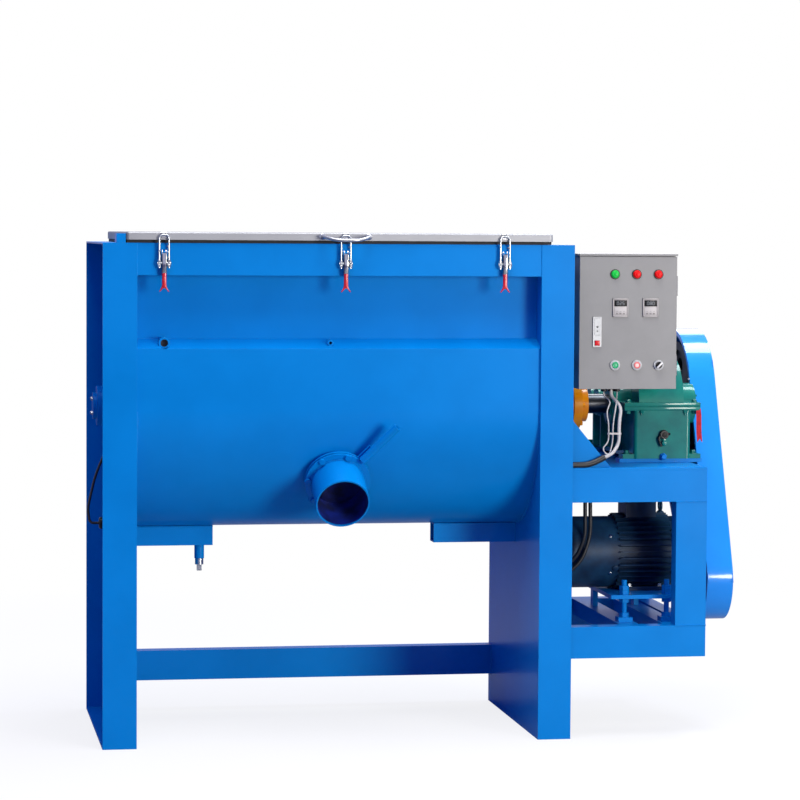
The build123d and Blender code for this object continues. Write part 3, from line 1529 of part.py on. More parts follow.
def lid_fittings():
    """Bow handle, latch keepers and the hinge straps of the lid."""
    bow_z = (lid_bottom + lid_top) / 2
    x = latch_xs[1]
    half = bow_span / 2
    points = [
        (x - half, lid_front, bow_z),
        (x - half, lid_front - bow_reach / 2, bow_z),
        (x - half / 2, lid_front - bow_reach, bow_z - bow_drop),
        (x + half / 2, lid_front - bow_reach, bow_z - bow_drop),
        (x + half, lid_front - bow_reach / 2, bow_z),
        (x + half, lid_front, bow_z),
    ]
    pieces = [cord_tube("lid bow", points, 2 * bow_radius)]
    for latch_x in latch_xs:
        back = rail_face_y - trunnion_out + bail_rod_radius + keeper_gap
        pieces.append(block((latch_x - keeper_half, latch_x + keeper_half), (back, lid_front),
                            (lid_top - keeper_height - lid_sheet * 2, lid_top - lid_sheet * 2)))
    for hinge_x in hinge_xs:
        knuckle = rod_x(hinge_x - hinge_knuckle / 2, hinge_x + hinge_knuckle / 2, hinge_axis_y,
                        hinge_axis_height, hinge_knuckle_radius)
        strap = block((hinge_x - hinge_knuckle / 2, hinge_x + hinge_knuckle / 2), (lid_rear, hinge_axis_y),
                      (hinge_axis_height, hinge_axis_height + hinge_knuckle_radius))
        knuckle += strap
        knuckle -= rod_x(hinge_x - hinge_knuckle, hinge_x + hinge_knuckle, hinge_axis_y, hinge_axis_height,
                         hinge_pin_radius + running_gap)
        pieces.append(knuckle)
    return group(*pieces)


def lid_hinges():
    """Fixed hinge leaves on the rear rail, with their pins."""
    pieces = []
    rail_rear = frame_depth - rail_inset
    for hinge_x in hinge_xs:
        outer = hinge_knuckle / 2 + moving_gap
        leaf = block((hinge_x - outer - hinge_knuckle, hinge_x + outer + hinge_knuckle),
                     (rail_rear, rail_rear + hinge_leaf), (rail_low + hinge_leaf, frame_height - hinge_leaf))
        for side in (-1, 1):
            start = hinge_x + side * outer
            end = start + side * hinge_knuckle
            low, high = min(start, end), max(start, end)
            leaf += rod_x(low, high, hinge_axis_y, hinge_axis_height, hinge_knuckle_radius)
            leaf += block((low, high), (rail_rear + hinge_leaf, hinge_axis_y + hinge_leaf),
                          (frame_height - hinge_knuckle, frame_height - hinge_leaf))
            leaf += block((low, high), (hinge_axis_y - hinge_leaf, hinge_axis_y + hinge_leaf),
                          (frame_height - hinge_knuckle, hinge_axis_height))
        leaf += rod_x(hinge_x - outer - hinge_knuckle, hinge_x + outer + hinge_knuckle, hinge_axis_y,
                      hinge_axis_height, hinge_pin_radius)
        pieces.append(leaf)
    stop = block((lid_left - lid_stop_length - moving_gap, lid_left - moving_gap), (0, lid_stop_depth),
                 (frame_height, lid_top - lid_sheet * 2))
    pieces.append(stop)
    return group(*pieces)


def latch_bases():
    """Base plates with two ears and the lever pins."""
    pieces = []
    for x in latch_xs:
        plate = block((x - latch_base_width / 2, x + latch_base_width / 2),
                      (rail_face_y - latch_base_plate, rail_face_y), (latch_base_low, latch_base_top))
        pivot_y = rail_face_y - latch_pivot_out
        ear_half = 2 * latch_pin_radius
        for side in (-1, 1):
            inner = x + side * (latch_lever_half + moving_gap)
            outer = inner + side * latch_ear
            plate += block((inner, outer), (pivot_y - ear_half, rail_face_y - latch_base_plate),
                           (latch_pivot_height - ear_half, latch_pivot_height + ear_half))
        reach = latch_lever_half + moving_gap + latch_ear
        plate += rod_x(x - reach, x + reach, pivot_y, latch_pivot_height, latch_pin_radius)
        pieces.append(plate)
    return group(*pieces)


def latch_lever(x):
    """Channel lever on its pin, with a moulded grip that forks at its tail."""
    pivot_y = rail_face_y - latch_pivot_out
    half = latch_lever_half
    back = pivot_y + 2 * latch_pin_radius - moving_gap
    front = back - lever_depth - lever_wall
    eye = 2 * latch_pin_radius
    arm = block((x - half, x + half), (front, back), (grip_top_height, latch_pivot_height))
    arm += rod_x(x - half, x + half, pivot_y, latch_pivot_height, eye - moving_gap)
    arm -= block((x - half + lever_wall, x + half - lever_wall), (front + lever_wall, back + overrun),
                 (grip_top_height + lever_wall, latch_pivot_height + eye))
    bored = (x - half - overrun, x + half + overrun)
    arm -= rod_x(*bored, pivot_y, latch_pivot_height, latch_pin_radius + running_gap)
    arm -= rod_x(*bored, rail_face_y - trunnion_out, trunnion_height, trunnion_radius + running_gap)
    grip = block((x - grip_half, x + grip_half), (front, back), (grip_split_height, grip_top_height))
    for side in (-1, 1):
        tail = extrude(
            Plane.XZ * make_face(Polyline(
                (x + side * lever_wall, grip_split_height),
                (x + side * grip_half, grip_split_height),
                (x + side * grip_fork_half, grip_low_height),
                (x + side * (grip_fork_half - grip_half), grip_low_height),
                close=True,
            )),
            amount=abs(back - front), dir=(0, 1, 0),
        )
        grip += Pos(0, front, 0) * tail
    return group(arm, grip)


def latch_bail(x):
    """Bent rod bail with its trunnion bar and adjusting nuts."""
    y = rail_face_y - trunnion_out
    half = bail_half
    low = trunnion_height - bail_tail
    bend = half - bail_rod_radius
    path = FilletPolyline(
        (x - half, y, low),
        (x - half, y, bail_top_height),
        (x + half, y, bail_top_height),
        (x + half, y, low),
        radius=bend,
    )
    bail = sweep(Plane(origin=path @ 0, x_dir=(1, 1, 0), z_dir=path % 0) * Circle(bail_rod_radius), path=path)
    bar = rod_x(x - half - bail_nut, x + half + bail_nut, y, trunnion_height, trunnion_radius)
    for side in (-1, 1):
        bar -= rod((x + side * half, y, low), (x + side * half, y, bail_top_height - half), bail_rod_radius)
    pieces = [bail, bar]
    for side in (-1, 1):
        for height in (trunnion_height - trunnion_radius - bail_nut, trunnion_height + trunnion_radius):
            nut = Pos(x + side * half, y, height) * extrude(RegularPolygon(bail_nut, 6), amount=bail_nut)
            pieces.append(nut - rod((x + side * half, y, low), (x + side * half, y, bail_top_height - half),
                                    bail_rod_radius))
    return group(*pieces)


def heater_cap():
    """Terminal cap of the heating element, and the cable gland above it on the web."""
    face = left_web_x - frame_plate
    cap = rod_x(face - heater_cap_length, face, heater_cap_y, heater_cap_height, heater_cap_radius)
    cap = fillet(cap.edges().sort_by(Axis.X)[0], heater_cap_radius / 3)
    start = Vector(*heater_lead_points[0]) + Vector(*lead_origin)
    gland = rod_x(face - gland_length, face, start.Y, start.Z, gland_radius)
    return group(cap, gland)


def heater_lead():
    """Cable from the gland down to the heater's cap."""
    return cord_tube("heater lead", heater_lead_points, lead_diameter, lead_origin)


def drive_conduits():
    """Two flexible conduits from the platform down to the web, and one over the platform."""
    cords = [
        ("front conduit", front_conduit_points, conduit_diameter),
        ("rear conduit", rear_conduit_points, conduit_diameter),
        ("box conduit", box_conduit_points, box_conduit_diameter),
    ]
    return group(*[cord_tube(*cord, conduit_origin) for cord in cords])


def box_wires():
    """Cable and looped wire under the control box, tied together."""
    tied = [Vector(*point) + Vector(*conduit_origin) for point in (box_wire_points[4], box_cable_points[3])]
    left = tied[0].X - box_wire_diameter / 2 - tie_gap
    right = tied[1].X + box_cable_diameter / 2 + tie_gap
    height = (box_cable_points[2][2] + box_cable_points[3][2]) / 2 + drive_top
    inner = SlotOverall(right - left, box_cable_diameter + 2 * tie_gap)
    outer = SlotOverall(right - left + 2 * tie_band, box_cable_diameter + 2 * tie_gap + 2 * tie_band)
    band = extrude(outer - inner, amount=tie_width)
    tie = Pos((left + right) / 2, tied[0].Y, height - tie_width / 2) * band
    return group(
        cord_tube("box cable", box_cable_points, box_cable_diameter, conduit_origin),
        cord_tube("box wire", box_wire_points, box_wire_diameter, conduit_origin),
        tie,
    )


def gearbox_tag():
    """Narrow cloth tag that hangs from the gearbox flange, cut to a swallow tail."""
    tag_x = gear_right + tag_inset
    top = axis_z - gear_flange_plate / 2
    low = top - tag_length
    face = make_face(Polyline(
        (tag_x - tag_width / 2, top),
        (tag_x + tag_width / 2, top),
        (tag_x + tag_width / 2, low),
        (tag_x, low + tag_notch),
        (tag_x - tag_width / 2, low),
        close=True,
    ))
    cloth = extrude(Plane.XZ * face, amount=tag_thickness, dir=(0, -1, 0))
    return Pos(0, gear_front - moving_gap / 2, 0) * cloth


def make_nodes():
    """Every node of the machine by name."""
    nodes = {
        "end_frame_left": end_frame(left_web_x, -1),
        "end_frame_right": end_frame(right_web_x, 1),
        "frame_beams": frame_beams(),
        "trough_shell": trough_shell(),
        "jacket": jacket(),
        "jacket_fittings": jacket_fittings(),
        "drain_plug": drain_plug(),
        "spout_neck": spout_neck(),
        "spout_pipe": spout_pipe(),
        "gate_bolts": gate_bolts(),
        "swing_gate": swing_gate(),
        "main_shaft": main_shaft(),
        "outer_ribbons": outer_ribbons(),
        "inner_ribbons": inner_ribbons(),
        "ribbon_arms": ribbon_arms(),
        "main_bearings": main_bearings(),
        "shaft_seals": shaft_seals(),
        "shaft_coupling": shaft_coupling(),
        "drive_frame": drive_frame(),
        "drive_platform": drive_platform(),
        "gearbox_lower_case": gearbox_lower_case(),
        "gearbox_upper_case": gearbox_upper_case(),
        "gearbox_covers": gearbox_covers(),
        "gearbox_fittings": gearbox_fittings(),
        "belt_guard": belt_guard(),
        "input_pulley": input_pulley(),
        "motor_pulley": motor_pulley(),
        "v_belts": v_belts(),
        "motor_body": motor_body(),
        "motor_fan_cover": motor_fan_cover(),
        "motor_terminal_box": motor_terminal_box(),
        "motor_base": motor_base(),
        "tension_studs": tension_studs(),
        "control_box": control_box(),
        "box_brackets": box_brackets(),
        "box_door": box_door(),
        "pilot_lamps": pilot_lamps(),
        "meters": meters(),
        "door_fittings": door_fittings(),
        "start_button": push_button(control_xs[0]),
        "stop_button": push_button(control_xs[1]),
        "selector_knob": selector_knob(),
        "lock_handle": lock_handle(),
        "lock_button": lock_button(),
        "lid": lid(),
        "lid_gasket": lid_gasket(),
        "lid_fittings": lid_fittings(),
        "lid_hinges": lid_hinges(),
        "latch_bases": latch_bases(),
        "heater_cap": heater_cap(),
        "heater_lead": heater_lead(),
        "drive_conduits": drive_conduits(),
        "box_wires": box_wires(),
        "gearbox_tag": gearbox_tag(),
    }
    for number, x in enumerate(latch_xs, 1):
        nodes[f"latch_lever_{number}"] = latch_lever(x)
        nodes[f"latch_bail_{number}"] = latch_bail(x)
    return nodes


def origin_of(nodes):
    """Middle of the machine's box at floor level."""
    boxes = [shape.bounding_box() for shape in nodes.values()]
    low_x = min(box.min.X for box in boxes)
    high_x = max(box.max.X for box in boxes)
    low_y = min(box.min.Y for box in boxes)
    high_y = max(box.max.Y for box in boxes)
    return (low_x + high_x) / 2, (low_y + high_y) / 2


nodes = make_nodes()
origin_x, origin_y = origin_of(nodes)
os.makedirs("parts", exist_ok=True)
for name, shape in nodes.items():
    export_step(Pos(-origin_x, -origin_y, 0) * shape, f"parts/{name}.step")
print("origin", origin_x, origin_y)
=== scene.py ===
import logging
from collections.abc import Iterable
from dataclasses import dataclass
from enum import Enum
from math import acos, atan2, cos, hypot, pi, radians, sin
from typing import Any

import bmesh
import bpy
from mathutils import Matrix, Vector


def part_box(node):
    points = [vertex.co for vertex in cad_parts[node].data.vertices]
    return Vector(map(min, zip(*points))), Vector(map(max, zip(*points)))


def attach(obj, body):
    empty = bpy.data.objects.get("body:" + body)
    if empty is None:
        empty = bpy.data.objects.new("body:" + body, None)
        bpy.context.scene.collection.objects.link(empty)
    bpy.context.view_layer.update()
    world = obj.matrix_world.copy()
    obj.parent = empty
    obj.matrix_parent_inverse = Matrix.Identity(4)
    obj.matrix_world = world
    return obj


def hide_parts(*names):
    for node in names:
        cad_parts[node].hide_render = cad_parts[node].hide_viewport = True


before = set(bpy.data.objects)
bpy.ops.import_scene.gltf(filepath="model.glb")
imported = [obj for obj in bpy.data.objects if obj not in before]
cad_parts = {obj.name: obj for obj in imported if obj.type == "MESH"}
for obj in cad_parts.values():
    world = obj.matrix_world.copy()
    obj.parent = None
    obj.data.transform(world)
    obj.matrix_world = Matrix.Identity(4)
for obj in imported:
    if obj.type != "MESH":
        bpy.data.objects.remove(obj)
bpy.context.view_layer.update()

log = logging.getLogger("ribbon_blender")
MM = 0.001
Point = tuple[float, float, float]
Profile = list[tuple[float, float]]
Ring = list[bmesh.types.BMVert]
Run = tuple[Point, Point, float]

# Directions, as seen by someone who stands before the machine
LEFT = (-1.0, 0.0, 0.0)
RIGHT = (1.0, 0.0, 0.0)
FRONT = (0.0, -1.0, 0.0)
BACK = (0.0, 1.0, 0.0)
DOWN = (0.0, 0.0, -1.0)
UP = (0.0, 0.0, 1.0)

# Places that several sub-assemblies share, in millimetres from the machine's front left foot
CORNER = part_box("end_frame_left")[0]
SHAFT_Y = 375.0
SHAFT_Z = 985.0
WEB_LEFT = 100.0
WEB_RIGHT = 1300.0


# Shared helpers

def linear(code: str) -> tuple[float, float, float, float]:
    """Turn an sRGB hex code into a linear colour.

    Args:
        code: Six hex digits with a leading hash.

    Returns:
        Linear red, green, blue and alpha.
    """
    parts = [int(code[n:n + 2], 16) / 255 for n in (1, 3, 5)]
    return (*[c / 12.92 if c <= 0.04045 else ((c + 0.055) / 1.055) ** 2.4 for c in parts], 1.0)


def at(x: float, y: float, z: float) -> Vector:
    """Turn millimetres from the machine's front left foot into a place in the frame."""
    return Vector((CORNER.x + x * MM, CORNER.y + y * MM, CORNER.z + z * MM))


def span(node: str) -> tuple[Vector, Vector]:
    """Give a node's lowest and highest corner in millimetres from the machine's front left foot."""
    low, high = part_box(node)
    return (Vector(low) - CORNER) / MM, (Vector(high) - CORNER) / MM


def middle(node: str) -> Vector:
    """Give the middle of a node's box in millimetres from the machine's front left foot."""
    low, high = span(node)
    return (low + high) / 2


def placed(name: str, data: Any) -> bpy.types.Object:
    """Make an object for a mesh, camera or lamp and link it to the scene."""
    item = bpy.data.objects.new(name, data)
    bpy.context.scene.collection.objects.link(item)
    return item


def flatten(item: bpy.types.Object) -> None:
    """Turn what an object's modifiers make into its own plain mesh."""
    name = item.data.name
    graph = bpy.context.evaluated_depsgraph_get()
    item.data = bpy.data.meshes.new_from_object(item.evaluated_get(graph))
    item.modifiers.clear()
    item.data.name = name


def add_node(tree: bpy.types.NodeTree, kind: str, settings: dict[str, Any] | None = None,
             inputs: dict[Any, Any] | None = None) -> bpy.types.Node:
    """Add one node with its settings and its links or values.

    Args:
        tree: Tree that takes the node.
        kind: Identifier of the node type.
        settings: Attributes of the node.
        inputs: Values or sockets by input name or number.

    Returns:
        The new node.
    """
    node = tree.nodes.new(kind)
    for name, value in (settings or {}).items():
        setattr(node, name, value)
    for name, value in (inputs or {}).items():
        if isinstance(value, bpy.types.NodeSocket):
            tree.links.new(value, node.inputs[name])
        else:
            node.inputs[name].default_value = value
    return node


def empty_tree(owner: bpy.types.Material | bpy.types.World) -> bpy.types.NodeTree:
    """Switch on a material's or a world's nodes and clear them."""
    owner.use_nodes = True
    owner.node_tree.nodes.clear()
    return owner.node_tree


def start_tree(name: str, inputs: dict[str, str]) -> tuple[bpy.types.NodeTree, Any]:
    """Start a tree of geometry nodes that takes a mesh, named values and a material.

    Args:
        name: Name of the tree.
        inputs: Kind of each named value, such as Float.

    Returns:
        The tree, and the sockets that give its inputs.
    """
    tree = bpy.data.node_groups.new(name, "GeometryNodeTree")
    for label, kind in {"Geometry": "Geometry", **inputs, "Material": "Material"}.items():
        tree.interface.new_socket(label, in_out="INPUT", socket_type=f"NodeSocket{kind}")
    tree.interface.new_socket("Geometry", in_out="OUTPUT", socket_type="NodeSocketGeometry")
    return tree, add_node(tree, "NodeGroupInput").outputs


def end_tree(tree: bpy.types.NodeTree, shape: bpy.types.NodeSocket, material: bpy.types.NodeSocket) -> None:
    """End a tree of geometry nodes: make its instances real and set their material.

    Args:
        tree: The tree.
        shape: Socket that gives the shape.
        material: Socket that gives the material.
    """
    real = add_node(tree, "GeometryNodeRealizeInstances", inputs={"Geometry": shape})
    dressed = add_node(tree, "GeometryNodeSetMaterial", inputs={
        "Geometry": real.outputs["Geometry"], "Material": material})
    add_node(tree, "NodeGroupOutput", inputs={"Geometry": dressed.outputs["Geometry"]})


# Finishes

@dataclass(frozen=True)
class Finish:
    """A surface: its two tones, how it shines, and the sizes of its patterns in millimetres."""

    name: str
    tone: str
    second: str
    metallic: float = 0.0
    roughness: float = 0.3
    spread: float = 0.06
    blotch: float = 220.0
    grain: float = 2.0
    stretch: Point = (1.0, 1.0, 1.0)
    relief: float = 0.02
    coat: float = 0.0
    gloss: float = 0.5
    edge: float = 0.0
    glow: float = 0.0

    def build(self) -> bpy.types.Material:
        """Build the material from two noises: a wide one for tone, a fine one for grain.

        Returns:
            The finished material.
        """
        material = bpy.data.materials.new(self.name)
        tree = empty_tree(material)
        place = add_node(tree, "ShaderNodeTexCoord").outputs["Object"]
        wide = add_node(tree, "ShaderNodeTexNoise", inputs={
            "Vector": place, "Scale": 1.0 / (self.blotch * MM), "Detail": 4.0, "Roughness": 0.55})
        share = add_node(tree, "ShaderNodeMapRange", inputs={
            "Value": wide.outputs["Fac"], "From Min": 0.36, "From Max": 0.64})
        tone = add_node(tree, "ShaderNodeMix", {"data_type": "RGBA"}, {
            "Factor": share.outputs["Result"], "A": linear(self.tone), "B": linear(self.second)})
        scaled = add_node(tree, "ShaderNodeMapping", inputs={"Vector": place, "Scale": self.stretch})
        fine = add_node(tree, "ShaderNodeTexNoise", inputs={
            "Vector": scaled.outputs["Vector"], "Scale": 1.0 / (self.grain * MM), "Detail": 3.0})
        rough = add_node(tree, "ShaderNodeMapRange", inputs={
            "Value": fine.outputs["Fac"], "To Min": max(self.roughness - self.spread, 0.02),
            "To Max": self.roughness + self.spread})
        relief = add_node(tree, "ShaderNodeBump", inputs={
            "Height": fine.outputs["Fac"], "Distance": self.relief * MM, "Strength": 1.0})
        if self.edge:
            rounded = add_node(tree, "ShaderNodeBevel", {"samples": 4}, {"Radius": self.edge * MM})
            tree.links.new(rounded.outputs["Normal"], relief.inputs["Normal"])
        shader = add_node(tree, "ShaderNodeBsdfPrincipled", inputs={
            "Base Color": tone.outputs["Result"], "Metallic": self.metallic,
            "Roughness": rough.outputs["Result"], "Normal": relief.outputs["Normal"],
            "Coat Weight": self.coat, "Coat Roughness": 0.08, "Specular IOR Level": self.gloss})
        if self.glow:
            shader.inputs["Emission Color"].default_value = linear(self.tone)
            shader.inputs["Emission Strength"].default_value = self.glow
        add_node(tree, "ShaderNodeOutputMaterial", inputs={"Surface": shader.outputs["BSDF"]})
        return material


# Brushing, plating and moulding leave a grain too fine to show, so it is drawn at 0.8 to 2 mm

# Alkyd enamel sprayed on plate: saturated, with a fine orange peel and slow cloudiness
BLUE_ENAMEL = Finish("blue_enamel", "#007bc4", "#0281cc", roughness=0.3, grain=3.0, relief=0.03, coat=0.1,
                     gloss=0.07, edge=1.5)
# The same enamel on the pressed guard, glossier, in a brighter tone that paints the sheen of light the guard catches
GUARD_ENAMEL = Finish("guard_enamel", "#0a86dc", "#108ce4", roughness=0.3, grain=3.0, coat=0.9, gloss=0.1,
                      edge=1.5)
# Enamel over a sand casting: the grit of the mould shows through the paint
CASTING_ENAMEL = Finish("casting_enamel", "#0e7c6c", "#0b6a60", roughness=0.4, spread=0.12, blotch=60,
                        grain=2.2, relief=0.18, coat=0.5, gloss=0.1, edge=2.0)
# Dark stoving enamel on the finned motor frame, nearly black with a cold reflection
MOTOR_ENAMEL = Finish("motor_enamel", "#10263e", "#173a56", roughness=0.42, blotch=70, relief=0.06, coat=0.06,
                      gloss=0.2, edge=1.0)
# Orange enamel brushed on the turned coupling
COUPLING_ENAMEL = Finish("coupling_enamel", "#d68a00", "#d07600", roughness=0.3, blotch=40, coat=0.4,
                         gloss=0.2, edge=1.5)
# Polyester powder coat: matt with a fine even texture
POWDER_COAT = Finish("powder_coat", "#7f7f7c", "#7a7a77", roughness=0.42, blotch=90, grain=1.2, relief=0.05,
                     edge=1.0)
# Cold rolled stainless sheet, brushed along its length
BRUSHED_STAINLESS = Finish("brushed_stainless", "#b4b5b8", "#acadb0", metallic=1.0, roughness=0.36,
                           blotch=120, grain=1.6, stretch=(0.03, 1.0, 1.0), relief=0.015, edge=1.0)
# The same steel on the lid, dull from wiping; its darker tone is painted shade that dims the glare on its front
LID_STAINLESS = Finish("lid_stainless", "#a0a1a4", "#9b9c9f", metallic=1.0, roughness=0.6, blotch=160,
                       grain=1.6, stretch=(0.03, 1.0, 1.0), relief=0.015, edge=1.0)
# Zinc plating on drawn steel: pale, slightly cloudy
ZINC_PLATE = Finish("zinc_plate", "#c9ccce", "#aeb2b4", metallic=1.0, roughness=0.26, blotch=8, grain=1.0,
                    edge=0.4)
# Nickel plating on the pressed clamps: bright
NICKEL_PLATE = Finish("nickel_plate", "#dcdcda", "#c6c6c4", metallic=1.0, roughness=0.14, blotch=10,
                      grain=0.8, relief=0.01)
# Turned steel with the fine rings of the tool, dark grey: painted shade for the dark round the shaft beside the
# coupling and inside the fill socket's bore
TURNED_STEEL = Finish("turned_steel", "#4a4c50", "#3a3c40", metallic=1.0, roughness=0.34, blotch=30,
                      grain=0.8, stretch=(1.0, 0.1, 0.1))
# Skin of the spout's bore, a darker blue than the enamel: painted shade for the inside of the pipe
SHADED_BORE = Finish("shaded_bore", "#2238a0", "#1c2452", metallic=0.2, roughness=0.4, blotch=60, grain=1.6,
                   relief=0.05)
# Satin chrome on the lock's handle and the door's fittings
SATIN_CHROME = Finish("satin_chrome", "#a9abad", "#9c9ea0", metallic=0.7, roughness=0.5, blotch=20,
                      grain=0.8, relief=0.01)
# Pale moulded rings of the push buttons
BEZEL_GREY = Finish("bezel_grey", "#b4b6b3", "#aaaca9", roughness=0.45, blotch=12, grain=0.8, relief=0.01,
                    gloss=0.3)
# Grey iron casting, unpainted and dull
IRON_CASTING = Finish("iron_casting", "#4a4b4c", "#3a3a3b", metallic=0.7, roughness=0.55, blotch=20,
                      grain=1.6, relief=0.2)
# Phenolic moulding, black and faintly grained
BLACK_MOULDING = Finish("black_moulding", "#101112", "#161718", roughness=0.38, grain=0.8, gloss=0.3)
# Vulcanised rubber: matt with a soft bloom
RUBBER = Finish("rubber", "#1a1a1b", "#232325", roughness=0.7, blotch=25, grain=1.0, relief=0.04)
# Extruded PVC cable sheath: satin
CABLE_SHEATH = Finish("cable_sheath", "#121315", "#1a1b1e", roughness=0.42, blotch=15, grain=1.0)
# Woven polyester tape dyed red
TAPE_CLOTH = Finish("tape_cloth", "#c81420", "#a80e1a", roughness=0.8, blotch=6, grain=0.7, relief=0.1)
# Coloured moulded acrylic and plastic caps of the controls
GREEN_LENS = Finish("green_lens", "#04b43c", "#04a434", roughness=0.35, grain=1.0, gloss=0.2, glow=0.2)
RED_LENS = Finish("red_lens", "#dc080c", "#c40608", roughness=0.35, grain=1.0, gloss=0.15, glow=0.12)
GREEN_CAP = Finish("green_cap", "#10a868", "#0c9058", roughness=0.3, grain=1.0)
RED_CAP = Finish("red_cap", "#d01820", "#c01018", roughness=0.3, grain=1.0, gloss=0.2)
# The lit stop cap: rose at its rim, nearly white in its middle
ROSE_CAP = Finish("rose_cap", "#dc7670", "#d46a66", roughness=0.4, grain=1.0, gloss=0.3, glow=0.15)
LIT_CENTRE = Finish("lit_centre", "#f0b8b0", "#ecaea8", roughness=0.4, grain=1.0, gloss=0.3, glow=0.35)
# Moulded instrument cases and faces: warm pale grey, satin
METER_CASE = Finish("meter_case", "#aba69f", "#a49f98", roughness=0.42, blotch=30, grain=0.9, relief=0.03)
METER_FACE = Finish("meter_face", "#bdb8b0", "#b6b1a9", roughness=0.5, blotch=20, grain=0.9)
KEY_CAP = Finish("key_cap", "#8c8780", "#7f7a74", roughness=0.5, blotch=10, grain=0.8)
# Smoked acrylic over a display
WINDOW_GLASS = Finish("window_glass", "#0b0c0d", "#111213", roughness=0.4, blotch=20, grain=1.0, relief=0.005,
                      gloss=0.15)
# Lit bars of a numeral, dimmed by the window
NUMERAL_LIGHT = Finish("numeral_light", "#7d8488", "#71787c", roughness=0.4, blotch=5, grain=1.0, glow=0.1)
# White moulded plastic of the selector's bar
WHITE_MOULDING = Finish("white_moulding", "#e9e7e2", "#dedcd6", roughness=0.35, blotch=12, grain=0.9)
# White extruded sheath of the thin cables
WIRE_SHEATH = Finish("wire_sheath", "#c2bfb8", "#aeaba4", roughness=0.4, blotch=14, grain=0.9)
# Dipped red vinyl on the clamp grips: soft gloss
RED_VINYL = Finish("red_vinyl", "#d81826", "#c01020", roughness=0.26, blotch=12, grain=1.2, coat=0.3)

DRESS: dict[Finish, tuple[str, ...]] = {
    BLUE_ENAMEL: (
        "end_frame_left", "end_frame_right", "frame_beams", "trough_shell", "jacket", "jacket_fittings",
        "spout_neck", "spout_pipe", "gate_bolts", "swing_gate", "main_bearings", "shaft_seals", "drive_frame",
        "drive_platform", "motor_base", "box_brackets", "lid_hinges", "latch_bases", "tension_studs"),
    GUARD_ENAMEL: ("belt_guard",),
    CASTING_ENAMEL: ("gearbox_lower_case", "gearbox_upper_case", "gearbox_covers", "gearbox_fittings"),
    MOTOR_ENAMEL: ("motor_body", "motor_fan_cover", "motor_terminal_box"),
    COUPLING_ENAMEL: ("shaft_coupling",),
    POWDER_COAT: ("control_box", "box_door"),
    LID_STAINLESS: ("lid",),
    SATIN_CHROME: ("lock_handle", "door_fittings"),
    BRUSHED_STAINLESS: ("lid_fittings", "outer_ribbons", "inner_ribbons", "ribbon_arms"),
    ZINC_PLATE: ("drain_plug", "latch_bail_1", "latch_bail_2", "latch_bail_3"),
    NICKEL_PLATE: ("latch_lever_1", "latch_lever_2", "latch_lever_3"),
    TURNED_STEEL: ("main_shaft",),
    IRON_CASTING: ("input_pulley", "motor_pulley"),
    BLACK_MOULDING: ("meters", "selector_knob", "heater_cap"),
    RUBBER: ("lid_gasket", "v_belts"),
    CABLE_SHEATH: ("heater_lead", "drive_conduits"),
    WIRE_SHEATH: ("box_wires",),
    TAPE_CLOTH: ("gearbox_tag",),
    GREEN_CAP: ("start_button",),
    RED_CAP: ("stop_button", "lock_button"),
    RED_LENS: ("pilot_lamps",),
}


class Wardrobe:
    """Builds each finish once and puts it on nodes and pieces."""

    def __init__(self) -> None:
        """Start with no material built."""
        self.built: dict[str, bpy.types.Material] = {}

    def get(self, finish: Finish) -> bpy.types.Material:
        """Return the material of a finish, built when it is first asked for."""
        if finish.name not in self.built:
            self.built[finish.name] = finish.build()
        return self.built[finish.name]

    def dress_nodes(self) -> None:
        """Give every node of the frame its finish."""
        for finish, names in DRESS.items():
            for name in names:
                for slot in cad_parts[name].material_slots:
                    slot.material = self.get(finish)
            log.info("%s on %s", finish.name, ", ".join(names))


WARDROBE = Wardrobe()


# Mesh work shared by the sub-assemblies

def upright(centre: Point, axis: Point) -> Matrix:
    """Give the place of a shape whose own third axis points along the given one."""
    return Matrix.Translation(centre) @ Vector(axis).to_track_quat("Z", "Y").to_matrix().to_4x4()


def to_frame(mesh: bmesh.types.BMesh) -> None:
    """Move a mesh from millimetres at the machine's front left foot to its place in the frame."""
    bmesh.ops.transform(mesh, matrix=Matrix.Translation(CORNER) @ Matrix.Scale(MM, 4), verts=mesh.verts)
    bmesh.ops.recalc_face_normals(mesh, faces=mesh.faces)


